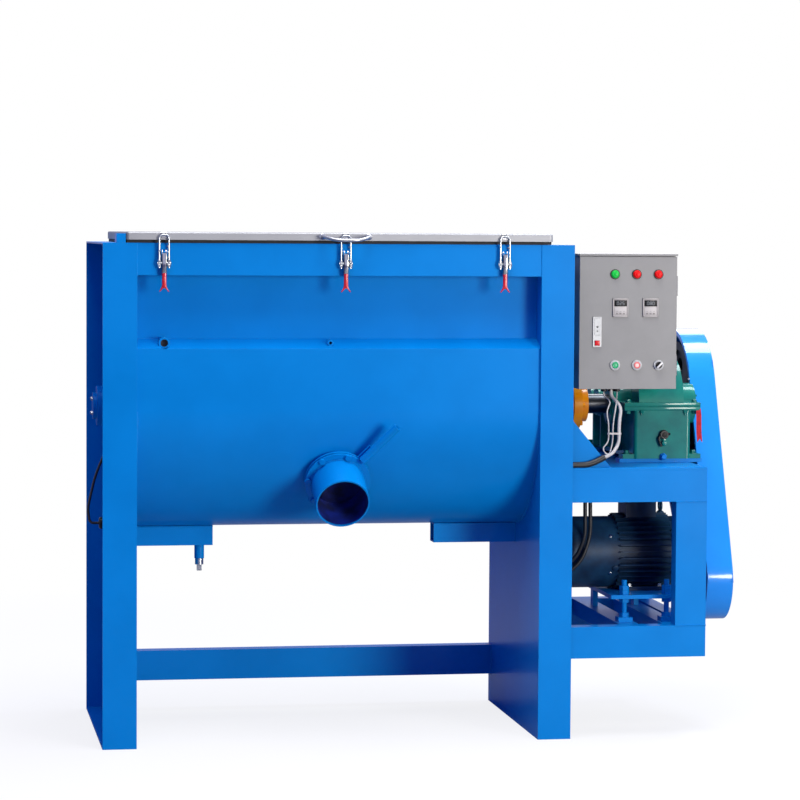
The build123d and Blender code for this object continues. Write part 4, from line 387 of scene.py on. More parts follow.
class Solids:
    """Collects closed solids in one mesh, in millimetres from the machine's front left foot."""

    def __init__(self) -> None:
        """Start with an empty mesh."""
        self.mesh = bmesh.new()
        self.paint = 0

    def close(self, before: set[bmesh.types.BMFace]) -> None:
        """Put the present paint number on every face that the mesh did not have before."""
        for face in self.mesh.faces:
            if face not in before:
                face.material_index = self.paint

    def ring(self, points: list[Vector]) -> Ring:
        """Add a corner at each point and return them."""
        return [self.mesh.verts.new(point) for point in points]

    def skin(self, rings: list[Ring], ends: bool = True) -> None:
        """Join rings of corners with faces.

        Args:
            rings: Rings of equal count. A ring of one corner is a point on the axis.
            ends: Whether the first and the last ring are closed.
        """
        before = set(self.mesh.faces)
        steps = max(len(ring) for ring in rings)
        for first, second in zip(rings, rings[1:]):
            for n in range(steps):
                m = (n + 1) % steps
                if len(first) == 1:
                    corners = (first[0], second[m], second[n])
                elif len(second) == 1:
                    corners = (first[n], first[m], second[0])
                else:
                    corners = (first[n], first[m], second[m], second[n])
                self.mesh.faces.new(corners)
        for ring in (rings[0], rings[-1]):
            if ends and len(ring) > 1:
                self.mesh.faces.new(ring)
        self.close(before)

    def round_edges(self, edges: set[bmesh.types.BMEdge], radius: float, steps: int) -> None:
        """Round edges off to a radius, with a number of faces across."""
        bmesh.ops.bevel(self.mesh, geom=list(edges), offset=radius, segments=steps, profile=0.5,
                        affect="EDGES")

    def box(self, low: Point, high: Point, round_off: float = 0.0, steps: int = 2,
            turn: Matrix | None = None) -> None:
        """Add a block with rounded edges.

        Args:
            low: Lowest corner.
            high: Highest corner.
            round_off: Radius of its edges.
            steps: Faces across a rounded edge.
            turn: Extra turn about the block's middle.
        """
        before = set(self.mesh.faces)
        size = Vector(high) - Vector(low)
        centre = (Vector(high) + Vector(low)) / 2
        place = Matrix.Translation(centre) @ (turn or Matrix.Identity(4)) @ Matrix.Diagonal((*size, 1.0))
        made = bmesh.ops.create_cube(self.mesh, size=1.0, matrix=place)
        if round_off:
            self.round_edges({edge for vert in made["verts"] for edge in vert.link_edges}, round_off, steps)
        self.close(before)

    def prism(self, outline: Profile, place: Matrix, depth: float, round_off: float) -> None:
        """Add a flat outline drawn out along its own third axis.

        Args:
            outline: Corners in the plane of the place.
            place: Where the plane lies.
            depth: Thickness.
            round_off: Radius of all edges.
        """
        before = set(self.mesh.faces)
        low, high = (self.ring([place @ Vector((x, y, z)) for x, y in outline]) for z in (0, depth))
        self.skin([low, high])
        added = set(self.mesh.faces) - before
        self.round_edges({edge for face in added for edge in face.edges}, round_off, 2)
        self.close(before)

    def lathe(self, centre: Point, axis: Point, profile: Profile, steps: int = 32, turn: float = 0.0) -> None:
        """Add a solid turned about an axis.

        Args:
            centre: Where the axis starts.
            axis: Direction of the axis.
            profile: Distance along the axis and radius, from one end to the other.
            steps: Sides of the turned shape.
            turn: Angle of the first side.
        """
        place = upright(centre, axis)
        angles = [turn + 2 * pi * n / steps for n in range(steps)]
        rings = []
        for along, radius in profile:
            points = [Vector((radius * cos(a), radius * sin(a), along)) for a in angles]
            if radius <= 0:
                points = [Vector((0, 0, along))]
            rings.append(self.ring([place @ point for point in points]))
        self.skin(rings)

    def torus(self, centre: Point, axis: Point, radius: float, bar: float, steps: int = 32,
              sides: int = 12) -> None:
        """Add a ring of round bar.

        Args:
            centre: Middle of the ring.
            axis: Direction of its axis.
            radius: Radius of the bar's middle line.
            bar: Radius of the bar.
            steps: Sections round the ring.
            sides: Sides of the bar.
        """
        place = upright(centre, axis)
        around = [2 * pi * k / sides for k in range(sides)]
        section = [(radius + bar * cos(b), bar * sin(b)) for b in around]
        rings = []
        for n in range(steps):
            a = 2 * pi * n / steps
            rings.append(self.ring([place @ Vector((out * cos(a), out * sin(a), up)) for out, up in section]))
        self.skin([*rings, rings[0]], ends=False)

    def tube(self, points: list[Point], radius: float, steps: int = 12, smooth: int = 6) -> None:
        """Add a round bar along a smooth curve through points.

        Args:
            points: Places that the bar passes through.
            radius: Radius of the bar.
            steps: Sides of the bar.
            smooth: Rings for each stretch between two points.
        """
        route = [Vector(p) for p in points]
        line = [route[0]]
        for n in range(len(route) - 1):
            a, b = route[max(n - 1, 0)], route[n]
            c, d = route[n + 1], route[min(n + 2, len(route) - 1)]
            for k in range(1, smooth + 1):
                t = k / smooth
                line.append(0.5 * ((2 * b) + (c - a) * t + (2 * a - 5 * b + 4 * c - d) * t ** 2
                                   + (3 * b - a - 3 * c + d) * t ** 3))
        across = (line[1] - line[0]).orthogonal().normalized()
        angles = [2 * pi * k / steps for k in range(steps)]
        rings = []
        for n, place in enumerate(line):
            ahead = line[min(n + 1, len(line) - 1)] - line[max(n - 1, 0)]
            ahead.normalize()
            across = (across - ahead * across.dot(ahead)).normalized()
            side = ahead.cross(across)
            rings.append(self.ring([place + radius * (cos(a) * across + sin(a) * side) for a in angles]))
        self.skin(rings)

    def loft(self, sections: list[tuple[Point, float, float]], steps: int = 24, power: float = 2.6) -> None:
        """Add a solid through rounded sections that lie level, one above the other.

        Args:
            sections: Middle, half width and half depth of each section.
            steps: Sides of the solid.
            power: How square the sections are, from 2 for an ellipse.
        """
        shape = []
        for n in range(steps):
            c, s = cos(2 * pi * n / steps), sin(2 * pi * n / steps)
            shape.append((abs(c) ** (2 / power) * (1 if c > 0 else -1),
                          abs(s) ** (2 / power) * (1 if s > 0 else -1)))
        rings = [self.ring([Vector(centre) + Vector((wide * c, deep * s, 0)) for c, s in shape])
                 for centre, wide, deep in sections]
        self.skin(rings)

    def piece(self, name: str, finishes: tuple[Finish, ...], body: str,
              stands_for: tuple[str, ...] = ()) -> None:
        """Turn the collection into a piece of the scene.

        Args:
            name: Name of the piece.
            finishes: One finish for each paint number.
            body: Body of the frame that it rides on.
            stands_for: Nodes that it replaces.
        """
        to_frame(self.mesh)
        data = bpy.data.meshes.new(name)
        self.mesh.to_mesh(data)
        self.mesh.free()
        settle(placed(name, data), finishes, body, stands_for)


def settle(item: bpy.types.Object, finishes: tuple[Finish, ...], body: str,
           stands_for: tuple[str, ...] = ()) -> None:
    """Dress a piece and put it on its body.

    Args:
        item: Object with its place in its mesh.
        finishes: One finish for each material number.
        body: Body that it rides on.
        stands_for: Nodes that it replaces.
    """
    numbers = [face.material_index for face in item.data.polygons]
    item.data.materials.clear()
    for finish in finishes:
        item.data.materials.append(WARDROBE.get(finish))
    item.data.polygons.foreach_set("material_index", numbers)
    item.data.shade_smooth()
    item.data.set_sharp_from_angle(angle=radians(35))
    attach(item, body)
    if stands_for:
        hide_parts(*stands_for)
    log.info("piece %s on %s: %d faces", item.name, body, len(item.data.polygons))


def grow(places: list[Point], strung: bool, tree: bpy.types.NodeTree, values: dict[str, Any], finish: Finish) -> None:
    """Run a tree of geometry nodes on points, and keep the result as a plain mesh on the machine.

    Args:
        places: Points that the tree starts from.
        strung: Whether a line joins the points.
        tree: The tree, with the name of the piece.
        values: Its named inputs.
        finish: Finish of the result.
    """
    edges = [(n, n + 1) for n in range(len(places) - 1)] if strung else []
    data = bpy.data.meshes.new(tree.name)
    data.from_pydata([at(*place) for place in places], edges, [])
    item = placed(tree.name, data)
    modifier = item.modifiers.new(tree.name, "NODES")
    modifier.node_group = tree
    sockets = {socket.name: socket.identifier for socket in tree.interface.items_tree
               if socket.item_type == "SOCKET" and socket.in_out == "INPUT"}
    for label, value in {**values, "Material": WARDROBE.get(finish)}.items():
        modifier[sockets[label]] = value
    item.update_tag()
    flatten(item)
    settle(item, (finish,), "machine")


class Head(Enum):
    """Heads that a fastener can have, and the number of their sides."""

    HEXAGON = 6
    ROUND = 20


@dataclass
class Fasteners:
    """Bolt heads on washers, put on points by a tree of geometry nodes."""

    name: str
    places: list[Point]
    facing: Point
    radius: float
    height: float
    washer_height: float = 1.5
    washer: float = 1.35
    head: Head = Head.HEXAGON
    finish: Finish = ZINC_PLATE
    slot: str = "plated_steel"
    crown: float = 0.78
    chamfer: float = 0.18
    washer_sides: int = 20

    def tree(self) -> bpy.types.NodeTree:
        """Build the tree: a head and its washer, an instance on each point.

        Returns:
            The tree, with its sizes as named inputs.
        """
        tree, given = start_tree(self.name, {
            "Head radius": "Float", "Head height": "Float", "Washer radius": "Float",
            "Washer height": "Float", "Rotation": "Rotation"})
        washer = add_node(tree, "GeometryNodeMeshCone", inputs={
            "Vertices": self.washer_sides, "Radius Bottom": given["Washer radius"],
            "Radius Top": given["Washer radius"], "Depth": given["Washer height"]})
        body = add_node(tree, "GeometryNodeMeshCone", inputs={
            "Vertices": self.head.value, "Radius Bottom": given["Head radius"],
            "Radius Top": given["Head radius"], "Depth": given["Head height"]})
        crown_foot = add_node(tree, "ShaderNodeMath", {"operation": "ADD"}, {
            0: given["Washer height"], 1: given["Head height"]})
        crown_radius = add_node(tree, "ShaderNodeMath", {"operation": "MULTIPLY"}, {
            0: given["Head radius"], 1: self.crown})
        crown_height = add_node(tree, "ShaderNodeMath", {"operation": "MULTIPLY"}, {
            0: given["Head height"], 1: self.chamfer})
        crown = add_node(tree, "GeometryNodeMeshCone", inputs={
            "Vertices": self.head.value, "Radius Bottom": given["Head radius"],
            "Radius Top": crown_radius.outputs["Value"], "Depth": crown_height.outputs["Value"]})
        joined = tree.nodes.new("GeometryNodeJoinGeometry")
        tree.links.new(washer.outputs["Mesh"], joined.inputs["Geometry"])
        for part, lift in ((body, given["Washer height"]), (crown, crown_foot.outputs["Value"])):
            offset = add_node(tree, "ShaderNodeCombineXYZ", inputs={"Z": lift})
            lifted = add_node(tree, "GeometryNodeTransform", inputs={
                "Geometry": part.outputs["Mesh"], "Translation": offset.outputs["Vector"]})
            tree.links.new(lifted.outputs["Geometry"], joined.inputs["Geometry"])
        spread = add_node(tree, "GeometryNodeInstanceOnPoints", inputs={
            "Points": given["Geometry"], "Instance": joined.outputs["Geometry"],
            "Rotation": given["Rotation"]})
        end_tree(tree, spread.outputs["Instances"], given["Material"])
        return tree

    def build(self) -> None:
        """Put the fasteners in the scene."""
        grow(self.places, False, self.tree(), {
            "Head radius": self.radius * MM, "Head height": self.height * MM,
            "Washer radius": self.radius * self.washer * MM, "Washer height": self.washer_height * MM,
            "Rotation": Vector(self.facing).to_track_quat("Z", "Y").to_euler()}, self.finish)


@dataclass
class Weld:
    """A bead of weld along a line: overlapping ripples laid by geometry nodes."""

    name: str
    points: list[Point]
    width: float
    pitch: float = 0.75
    seed: int = 3

    def tree(self) -> bpy.types.NodeTree:
        """Build the tree: ripples spaced along the line, each a flattened ball of its own size.

        Returns:
            The tree.
        """
        tree, given = start_tree(self.name, {"Width": "Float", "Pitch": "Float", "Seed": "Int"})
        line = add_node(tree, "GeometryNodeMeshToCurve", inputs={"Mesh": given["Geometry"]})
        steps = add_node(tree, "GeometryNodeCurveToPoints", {"mode": "LENGTH"}, {
            "Curve": line.outputs["Curve"], "Length": given["Pitch"]})
        ball = add_node(tree, "GeometryNodeMeshIcoSphere", inputs={"Radius": 0.5, "Subdivisions": 2})
        size = add_node(tree, "FunctionNodeRandomValue", {"data_type": "FLOAT_VECTOR"}, {
            0: (0.85, 0.75, 0.8), 1: (1.15, 1.05, 1.3), "Seed": given["Seed"]})
        scaled = add_node(tree, "ShaderNodeVectorMath", {"operation": "SCALE"}, {
            0: size.outputs["Value"], "Scale": given["Width"]})
        spread = add_node(tree, "GeometryNodeInstanceOnPoints", inputs={
            "Points": steps.outputs["Points"], "Instance": ball.outputs["Mesh"],
            "Rotation": steps.outputs["Rotation"], "Scale": scaled.outputs["Vector"]})
        end_tree(tree, spread.outputs["Instances"], given["Material"])
        return tree

    def build(self) -> None:
        """Put the bead in the scene."""
        grow(self.points, True, self.tree(), {
            "Width": self.width * MM, "Pitch": self.width * self.pitch * MM, "Seed": self.seed},
            BLUE_ENAMEL)


# Control box

@dataclass
class PilotLamps:
    """Three signal lamps: black bezel, domed lens and the body behind the door; the black bezel paints the shade that
    rings each lens.
    """

    bezel: float = 15.0
    lens: float = 12.4
    body: float = 11.9
    depth: float = 42.0
    rise: float = 10.8

    def build(self) -> None:
        """Turn the lamps in place of the plain ones."""
        low, high = span("pilot_lamps")
        door = span("box_door")[0].y
        row = high.x - low.x - 2 * self.bezel
        lens = self.lens
        part = Solids()
        for n, glass in enumerate((1, 2, 2)):
            place = (low.x + self.bezel + n * row / 2, door, (low.z + high.z) / 2)
            # Black bezel: painted shade round the rim of each lens
            part.paint = 0
            part.lathe(place, FRONT, [
                (-self.depth, 0), (-self.depth, self.body), (0, self.body), (0.01, self.bezel),
                (2.0, self.bezel), (2.9, self.bezel - 0.7), (2.9, 0)], 40)
            part.paint = glass
            part.lathe(place, FRONT, [
                (2.8, 0), (2.8, lens - 0.4), (3.4, lens), (6.4, lens - 0.6), (8.4, lens - 2.4),
                (9.4, lens - 4.6), (9.2, lens - 5.4), (10.3, lens - 8.4), (self.rise, 0)], 40)
        part.piece("pilot_lamps_turned", (BLACK_MOULDING, GREEN_LENS, RED_LENS), "box_door",
                   ("pilot_lamps",))


class Digit(Enum):
    """Lit bars of a numeral of seven bars: a to f run clockwise from the top, and g is the middle one."""

    ZERO = "abcdef"
    TWO = "abged"
    FIVE = "afgcd"
    EIGHT = "abcdefg"


@dataclass
class PanelMeters:
    """Two panel instruments: a pale rounded case, a black window with numerals, and a row of keys."""

    width: float = 48.0
    tall: float = 56.0
    rim: float = 4.0
    stand: float = 5.0
    sunk: float = 1.4
    depth: float = 60.0
    window: float = 18.0
    numeral: float = 9.0
    bar: float = 1.1
    inset: float = 5.2
    keys: int = 3
    key_pitch: float = 10.5
    shown: tuple[tuple[Digit, ...], ...] = (
        (Digit.ZERO, Digit.TWO, Digit.FIVE), (Digit.ZERO, Digit.EIGHT, Digit.ZERO))

    def numerals(self, part: Solids, x: float, y: float, z: float, digits: tuple[Digit, ...]) -> None:
        """Draw lit bars on a window.

        Args:
            part: Collection that takes them.
            x: Middle of the window.
            y: Face of the window.
            z: Middle of the window.
            digits: Numerals from left to right.
        """
        tall, wide, bar = self.numeral, self.numeral * 0.55, self.bar
        bars = {"a": (0, tall / 2, wide, bar), "g": (0, 0, wide, bar), "d": (0, -tall / 2, wide, bar)}
        for name, side, level in (("b", 1, 1), ("c", 1, -1), ("f", -1, 1), ("e", -1, -1)):
            bars[name] = (side * wide / 2, level * tall / 4, bar, tall / 2)
        for n, digit in enumerate(digits):
            left = x + (n - (len(digits) - 1) / 2) * wide * 1.7
            for name in digit.value:
                dx, dz, across, up = bars[name]
                part.box((left + dx - across / 2, y - 0.3, z + dz - up / 2),
                         (left + dx + across / 2, y + 0.2, z + dz + up / 2))

    def instrument(self, part: Solids, x: float, door: float, z: float, digits: tuple[Digit, ...]) -> None:
        """Build one instrument.

        Args:
            part: Collection that takes it.
            x: Middle of the case.
            door: Face of the door.
            z: Middle of the case.
            digits: Numerals from left to right.
        """
        half, rise, rim = self.width / 2, self.tall / 2, self.rim
        front = door - self.stand
        face = front + self.sunk
        part.paint = 0
        part.box((x - half, face, z - rise), (x + half, door, z + rise), 0.8)
        for left, right, foot, head in (
            (-half, half, rise - rim, rise), (-half, half, -rise, -rise + rim),
            (-half, -half + rim, -rise, rise), (half - rim, half, -rise, rise),
        ):
            part.box((x + left, front, z + foot), (x + right, door - 0.5, z + head), 1.1)
        part.paint = 1
        top = z + rise - rim - 2
        bottom = top - self.window
        wide = half - rim - 0.5
        part.box((x - wide, face - 0.7, bottom), (x + wide, face + 0.4, top), 0.3)
        part.box((x - half + self.inset, door, z - rise + self.inset),
                 (x + half - self.inset, door + self.depth, z + rise - self.inset), 1)
        part.paint = 2
        self.numerals(part, x, face - 0.7, top - self.window / 2, digits)
        part.paint = 3
        foot = z - rise + rim
        wide = half - rim - 2
        part.box((x - wide, face - 0.5, foot + 2), (x + wide, face + 0.4, bottom - 3), 0.4)
        part.paint = 4
        for k in range(self.keys):
            key = x + (k - 1) * self.key_pitch
            part.box((key - 3.2, face - 1.4, foot + 4), (key + 3.2, face, foot + 8.5), 0.5)
            part.box((key - 2.4, face - 0.75, foot + 11.5), (key + 2.4, face, foot + 12.6))

    def build(self) -> None:
        """Build both instruments in place of the plain ones."""
        low, high = span("meters")
        door = span("box_door")[0].y
        part = Solids()
        for n, digits in enumerate(self.shown):
            x = low.x + self.width / 2 + n * (high.x - low.x - self.width)
            self.instrument(part, x, door, (low.z + high.z) / 2, digits)
        part.piece("panel_meters_cased", (METER_CASE, WINDOW_GLASS, NUMERAL_LIGHT, METER_FACE, KEY_CAP),
                   "box_door", ("meters",))


@dataclass
class DoorLock:
    """Key rosettes on the handle of the door's lock, and the rounded cap of its release button."""

    key: float = 3.0

    def build(self) -> None:
        """Put the rosettes on the handle, and the cap in place of the plain one."""
        low, high = span("lock_handle")
        x = (low.x + high.x) / 2
        part = Solids()
        for share, radius in ((0.48, self.key), (0.22, self.key * 0.7)):
            z = low.z + share * (high.z - low.z)
            part.paint = 0
            part.lathe((x, low.y, z), FRONT, [
                (-0.6, 0), (-0.6, radius), (0.5, radius), (0.8, radius - 0.4), (0.8, 0)], 24)
            part.paint = 1
            part.box((x - 0.35, low.y - 1.0, z - radius * 0.6), (x + 0.35, low.y + 0.2, z + radius * 0.6))
        part.piece("lock_key_rosettes", (BLACK_MOULDING, SATIN_CHROME), "lock_handle")
        low, high = span("lock_button")
        cap = Solids()
        cap.box(tuple(low), tuple(high), 1.0, 3)
        cap.piece("lock_release_cap", (RED_CAP,), "lock_button", ("lock_button",))


@dataclass
class PushButtons:
    """Caps of the push buttons, the white bar of the selector, and their pale bezel rings."""

    cap: float = 9.9
    ring: float = 15.2
    bore: float = 11.2
    pointer: tuple[float, float] = (10.6, 2.6)
    pointer_rise: float = 6.5

    def dome(self, node: str, outer: Finish, centre: Finish) -> None:
        """Turn a cap with a sunk middle.

        Args:
            node: Cap that it replaces, and the body that it rides on.
            outer: Finish of the rim.
            centre: Finish of the middle.
        """
        low, high = span(node)
        place = ((low.x + high.x) / 2, high.y, (low.z + high.z) / 2)
        rise, cap = high.y - low.y, self.cap
        part = Solids()
        part.lathe(place, FRONT, [
            (0, 0), (0, cap), (rise - 1.6, cap), (rise - 0.5, cap - 0.7), (rise, cap - 1.9),
            (rise - 0.7, cap - 3.6), (rise - 0.9, 0)], 40)
        part.paint = 1
        part.lathe(place, FRONT, [
            (rise - 1.1, 0), (rise - 1.1, cap - 3.9), (rise - 0.6, cap - 4.4), (rise - 0.3, 0)])
        part.piece(f"{node}_cap", (outer, centre), node, (node,))

    def build(self) -> None:
        """Build caps, bar and rings."""
        self.dome("start_button", GREEN_CAP, GREEN_CAP)
        self.dome("stop_button", ROSE_CAP, LIT_CENTRE)
        first, last = middle("start_button"), middle("selector_knob")
        face = span("selector_knob")[0].y
        half, tall = self.pointer
        bar = Solids()
        bar.box((last.x - half, face - 0.5, last.z - tall),
                (last.x + half, face + self.pointer_rise, last.z + tall), 0.7,
                turn=Matrix.Rotation(-pi / 4, 4, "Y"))
        bar.piece("selector_pointer", (WHITE_MOULDING,), "selector_knob")
        door = span("box_door")[0].y
        rings = Solids()
        for n in range(3):
            rings.lathe((first.x + n * (last.x - first.x) / 2, door, first.z), FRONT, [
                (4.9, self.bore), (0.2, self.ring), (3.4, self.ring + 0.2), (5.0, self.ring - 0.8),
                (5.5, self.ring - 2.4), (5.4, self.bore)], 40)
        rings.piece("button_bezel_rings", (BEZEL_GREY,), "box_door")


# Toggle latches

@dataclass
class Latch:
    """One lever: a folded channel arm with a dipped vinyl grip that ends in a fish tail."""

    number: int
    arm: float = 6.5
    sheet: float = 2.0
    grip: float = 6.8
    fork: float = 14.0
    sleeve: float = 40.0
    rivet: float = 9.4

    def channel(self, part: Solids, x: float, front: float, back: float, low: float, top: float) -> None:
        """Fold the arm from two cheeks and a web.

        Args:
            part: Collection that takes it.
            x: Middle of the arm.
            front: Front of the arm.
            back: Rear of the arm.
            low: Foot of the arm.
            top: Head of the arm.
        """
        outline = [(back, top), (front + 4.0, top), (front + 1.0, top - 4.0), (front, top - 12), (front, low),
                   (back - 3, low), (back, low + 9)]
        for left in (x - self.arm, x + self.arm - self.sheet):
            place = Matrix(((0, 0, 1, left), (1, 0, 0, 0), (0, 1, 0, 0), (0, 0, 0, 1)))
            part.prism(outline, place, self.sheet, 0.4)
        part.box((x - self.arm, front, low), (x + self.arm, front + self.sheet, top - 9), 0.5)

    def build(self) -> None:
        """Build the lever in place of the plain one, and the rivets of its base."""
        node = f"latch_lever_{self.number}"
        low, high = span(node)
        x, y = (low.x + high.x) / 2, (low.y + high.y) / 2
        split = low.z + self.fork
        part = Solids()
        self.channel(part, x, low.y, high.y, split + self.sleeve, high.z)
        part.paint = 1
        grip = self.grip
        part.loft([((x, y, split + up), wide, deep) for up, wide, deep in (
            (46, 5.4, 4.2), (44.5, 7.0, 5.4), (40, grip, 5.6), (30, grip - 0.8, 5.2), (20, grip, 5.5),
            (10, grip - 0.6, 5.0), (3, grip + 0.3, 4.6), (-1, grip + 1.2, 4.0), (-3, grip, 3.0))])
        for side in (-1, 1):
            part.loft([((x + side * out, y, split + up), wide, deep) for out, up, wide, deep in (
                (3.0, 4, 3.4, 4.2), (5.4, -2, 3.2, 3.8), (8.6, -7, 2.7, 3.2), (11.8, -11, 2.2, 2.6),
                (13.2, -13.4, 1.2, 1.5))])
        part.piece(f"{node}_gripped", (NICKEL_PLATE, RED_VINYL), node, (node,))
        rivets = Solids()
        for side, facing in ((-1, LEFT), (1, RIGHT)):
            rivets.lathe((x + side * self.rivet, high.y - 5.5, high.z - 5.5), facing, [
                (0, 0), (0, 4.4), (0.9, 4.1), (1.7, 2.8), (2.0, 0)], 20)
        rivets.piece(f"latch_rivets_{self.number}", (ZINC_PLATE,), "machine")


# Lid

@dataclass
class LidTrim:
    """Curled keepers for the bails, and the round pads of the bow handle."""

    curl: float = 3.0
    half: float = 7.5
    stand: float = 4.4
    drop: float = 3.2
    bow: float = 69.0

    def build(self) -> None:
        """Build the curls with their straps and the pads."""
        low, high = span("lid")
        part = Solids()
        for number in (1, 2, 3):
            x = middle(f"latch_bail_{number}").x
            front, top = low.y - self.stand, high.z - self.drop
            part.tube([(x - self.half, front, top), (x, front - 0.2, top + 0.1), (x + self.half, front, top)],
                      self.curl, 16, 3)
            part.box((x - self.half, low.y - 3.6, high.z - 9.5),
                     (x + self.half, low.y + 0.6, high.z - 2.4), 0.6)
        for side in (-self.bow, self.bow):
            part.lathe((middle("latch_bail_2").x + side, low.y + 0.4, (low.z + high.z) / 2), FRONT, [
                (0, 0), (0, 9.5), (2.2, 9.5), (3.2, 8.4), (3.4, 5.2), (5.6, 5.05)], 28)
        part.piece("lid_keeper_curls", (NICKEL_PLATE,), "lid")


# Drive

@dataclass
class GearboxDress:
    """Bolts, breather, oil gauge with its elbow, painted drain plug, cap screws and flange lips."""

    middle: float = 1730.0
    gauge: tuple[float, float] = (1734.0, 897.0)
    plug: tuple[float, float] = (1733.0, 831.0)
    lip: float = 12.4
    lip_reach: float = 120.4
    jack_screws: tuple[float, float] = (1664.0, 1801.0)
    foot_height: float = 14.0
    foot_bolts: float = 106.0
    foot_inset: float = 30.0
    flange: float = 12.0
    flange_bolts: float = 104.5
    nut_inset: float = 18.0
    cover_stand: float = 7.0
    breather: float = 149.0
    ring_drop: float = 58.0
    bolt_shares: tuple[float, ...] = (0.034, 0.27, 0.44, 0.62, 0.79, 0.966)
    covers: tuple[tuple[float, float], ...] = ((163.0, 55.0), (313.0, 37.0), (413.0, 35.0))

    def fittings(self, front: float, rear: float, split: float, foot: float) -> None:
        """Build what is screwed into the case.

        Args:
            front: Front face of the case.
            rear: Rear face of the case.
            split: Height of the split.
            foot: Top of the feet.
        """
        part = Solids()
        x, z = self.gauge
        part.lathe((x, front + 1, z + 2), FRONT, [
            (0, 0), (0, 14.5), (5, 14.5), (5.5, 13.5), (12, 13.5), (13.5, 12), (13.5, 8), (11.5, 7.6),
            (11.5, 0)])
        part.tube([(x - 11, front - 7, z - 1), (x - 17, front - 8, z - 9), (x - 14, front - 8, z - 22),
                   (x - 9, front - 7, z - 34)], 3.8, 12, 5)
        part.lathe((x + 13, front - 7, z + 4), RIGHT, [(0, 0), (0, 4.5), (5, 4.5), (6, 3.5), (6, 0)], 6)
        part.paint = 1
        part.lathe((x + 1, front + 1, z - 24), FRONT, [
            (0, 0), (0, 9), (4, 9), (5, 7.5), (11, 7.5), (12, 6), (12, 0)], 20)
        part.box((x - 5, front - 6, z - 24), (x + 7, front + 0.5, z - 6), 1.5)
        part.lathe((self.middle, SHAFT_Y, split + self.breather), UP, [
            (0, 0), (0, 7.6), (5, 7.6), (5.4, 9), (9, 9), (11, 7.5), (12.6, 4), (12.8, 0)], 20)
        for side in (-self.foot_bolts, self.foot_bolts):
            for y in (front + self.foot_inset, rear - self.foot_inset):
                part.lathe((self.middle + side, y, foot - 0.5), UP, [
                    (0, 0), (0, 12), (2, 12), (2.2, 8), (9.6, 8), (10.4, 6.8), (10.4, 0)], 6)
        part.paint = 2
        part.lathe((x, front + 1, z + 2), FRONT, [(11.4, 0), (11.4, 7.5), (12.4, 7.0), (12.9, 0)], 28)
        part.paint = 3
        part.lathe((self.plug[0], front + 0.5, self.plug[1]), FRONT, [
            (0, 0), (0, 12), (4, 12), (5, 11), (5, 8.8), (12, 8.8), (14, 7.4), (14, 0)], 6, 0.3)
        part.piece("gearbox_screwed_fittings", (BLACK_MOULDING, CASTING_ENAMEL, WINDOW_GLASS, BLUE_ENAMEL),
                   "machine", ("gearbox_fittings",))

    def lips(self, front: float, split: float) -> None:
        """Build the lips of the flange, its jack screws and the lifting ring.

        Args:
            front: Front face of the case.
            split: Height of the split.
        """
        part = Solids()
        for low, high in ((-self.lip, -0.6), (0.6, self.lip)):
            part.box((self.middle - self.lip_reach, front - 1.4, split + low),
                     (self.middle + self.lip_reach, front + 3.0, split + high), 1.3)
        for x in self.jack_screws:
            part.lathe((x, front - 1.0, split - 11), DOWN, [
                (0, 0), (0, 7.5), (8, 7.5), (9, 6.4), (9, 0)], 6, 0.2)
            part.lathe((x, front - 1.0, split - 19), DOWN, [
                (0, 0), (0, 4.2), (6, 4.2), (6.6, 3.4), (6.6, 0)], 16)
        ring_z = span("gearbox_upper_case")[1].z - self.ring_drop
        part.torus((middle("gearbox_upper_case").x, front + self.covers[-1][0], ring_z), BACK, 12, 4)
        part.piece("gearbox_flange_lips", (CASTING_ENAMEL,), "machine")

    def bolt(self, name: str, places: list[Point], facing: Point, *sizes: float) -> None:
        """Set enamelled hexagon heads, with their sizes in the order in which Fasteners takes them."""
        Fasteners(name, places, facing, *sizes, finish=CASTING_ENAMEL, slot="gearbox_paint").build()

    def build(self) -> None:
        """Dress the case."""
        low, high = span("gearbox_lower_case")
        self.fittings(low.y, high.y, high.z, low.z + self.foot_height)
        sides = (self.middle - self.flange_bolts, self.middle + self.flange_bolts)
        rows = [(x, low.y + share * (high.y - low.y), high.z + self.flange)
                for x in sides for share in self.bolt_shares]
        self.bolt("gearbox_flange_bolts", rows, UP, 8.0, 6.5)
        nuts = [(x, y, high.z - self.flange) for x in sides
                for y in (low.y + self.nut_inset, high.y - self.nut_inset)]
        self.bolt("gearbox_flange_nuts", nuts, DOWN, 8.5, 8.0)
        angles = [pi / 6 + n * pi / 3 for n in range(6)]
        for name, face, facing in (("left", low.x - self.cover_stand, LEFT),
                                   ("right", high.x + self.cover_stand, RIGHT)):
            caps = [(face, low.y + y + radius * cos(a), high.z + radius * sin(a))
                    for y, radius in self.covers for a in angles]
            self.bolt(f"cover_screws_{name}", caps, facing, 4.0, 3.6, 0.8, 1.3)
        self.lips(low.y, high.z)


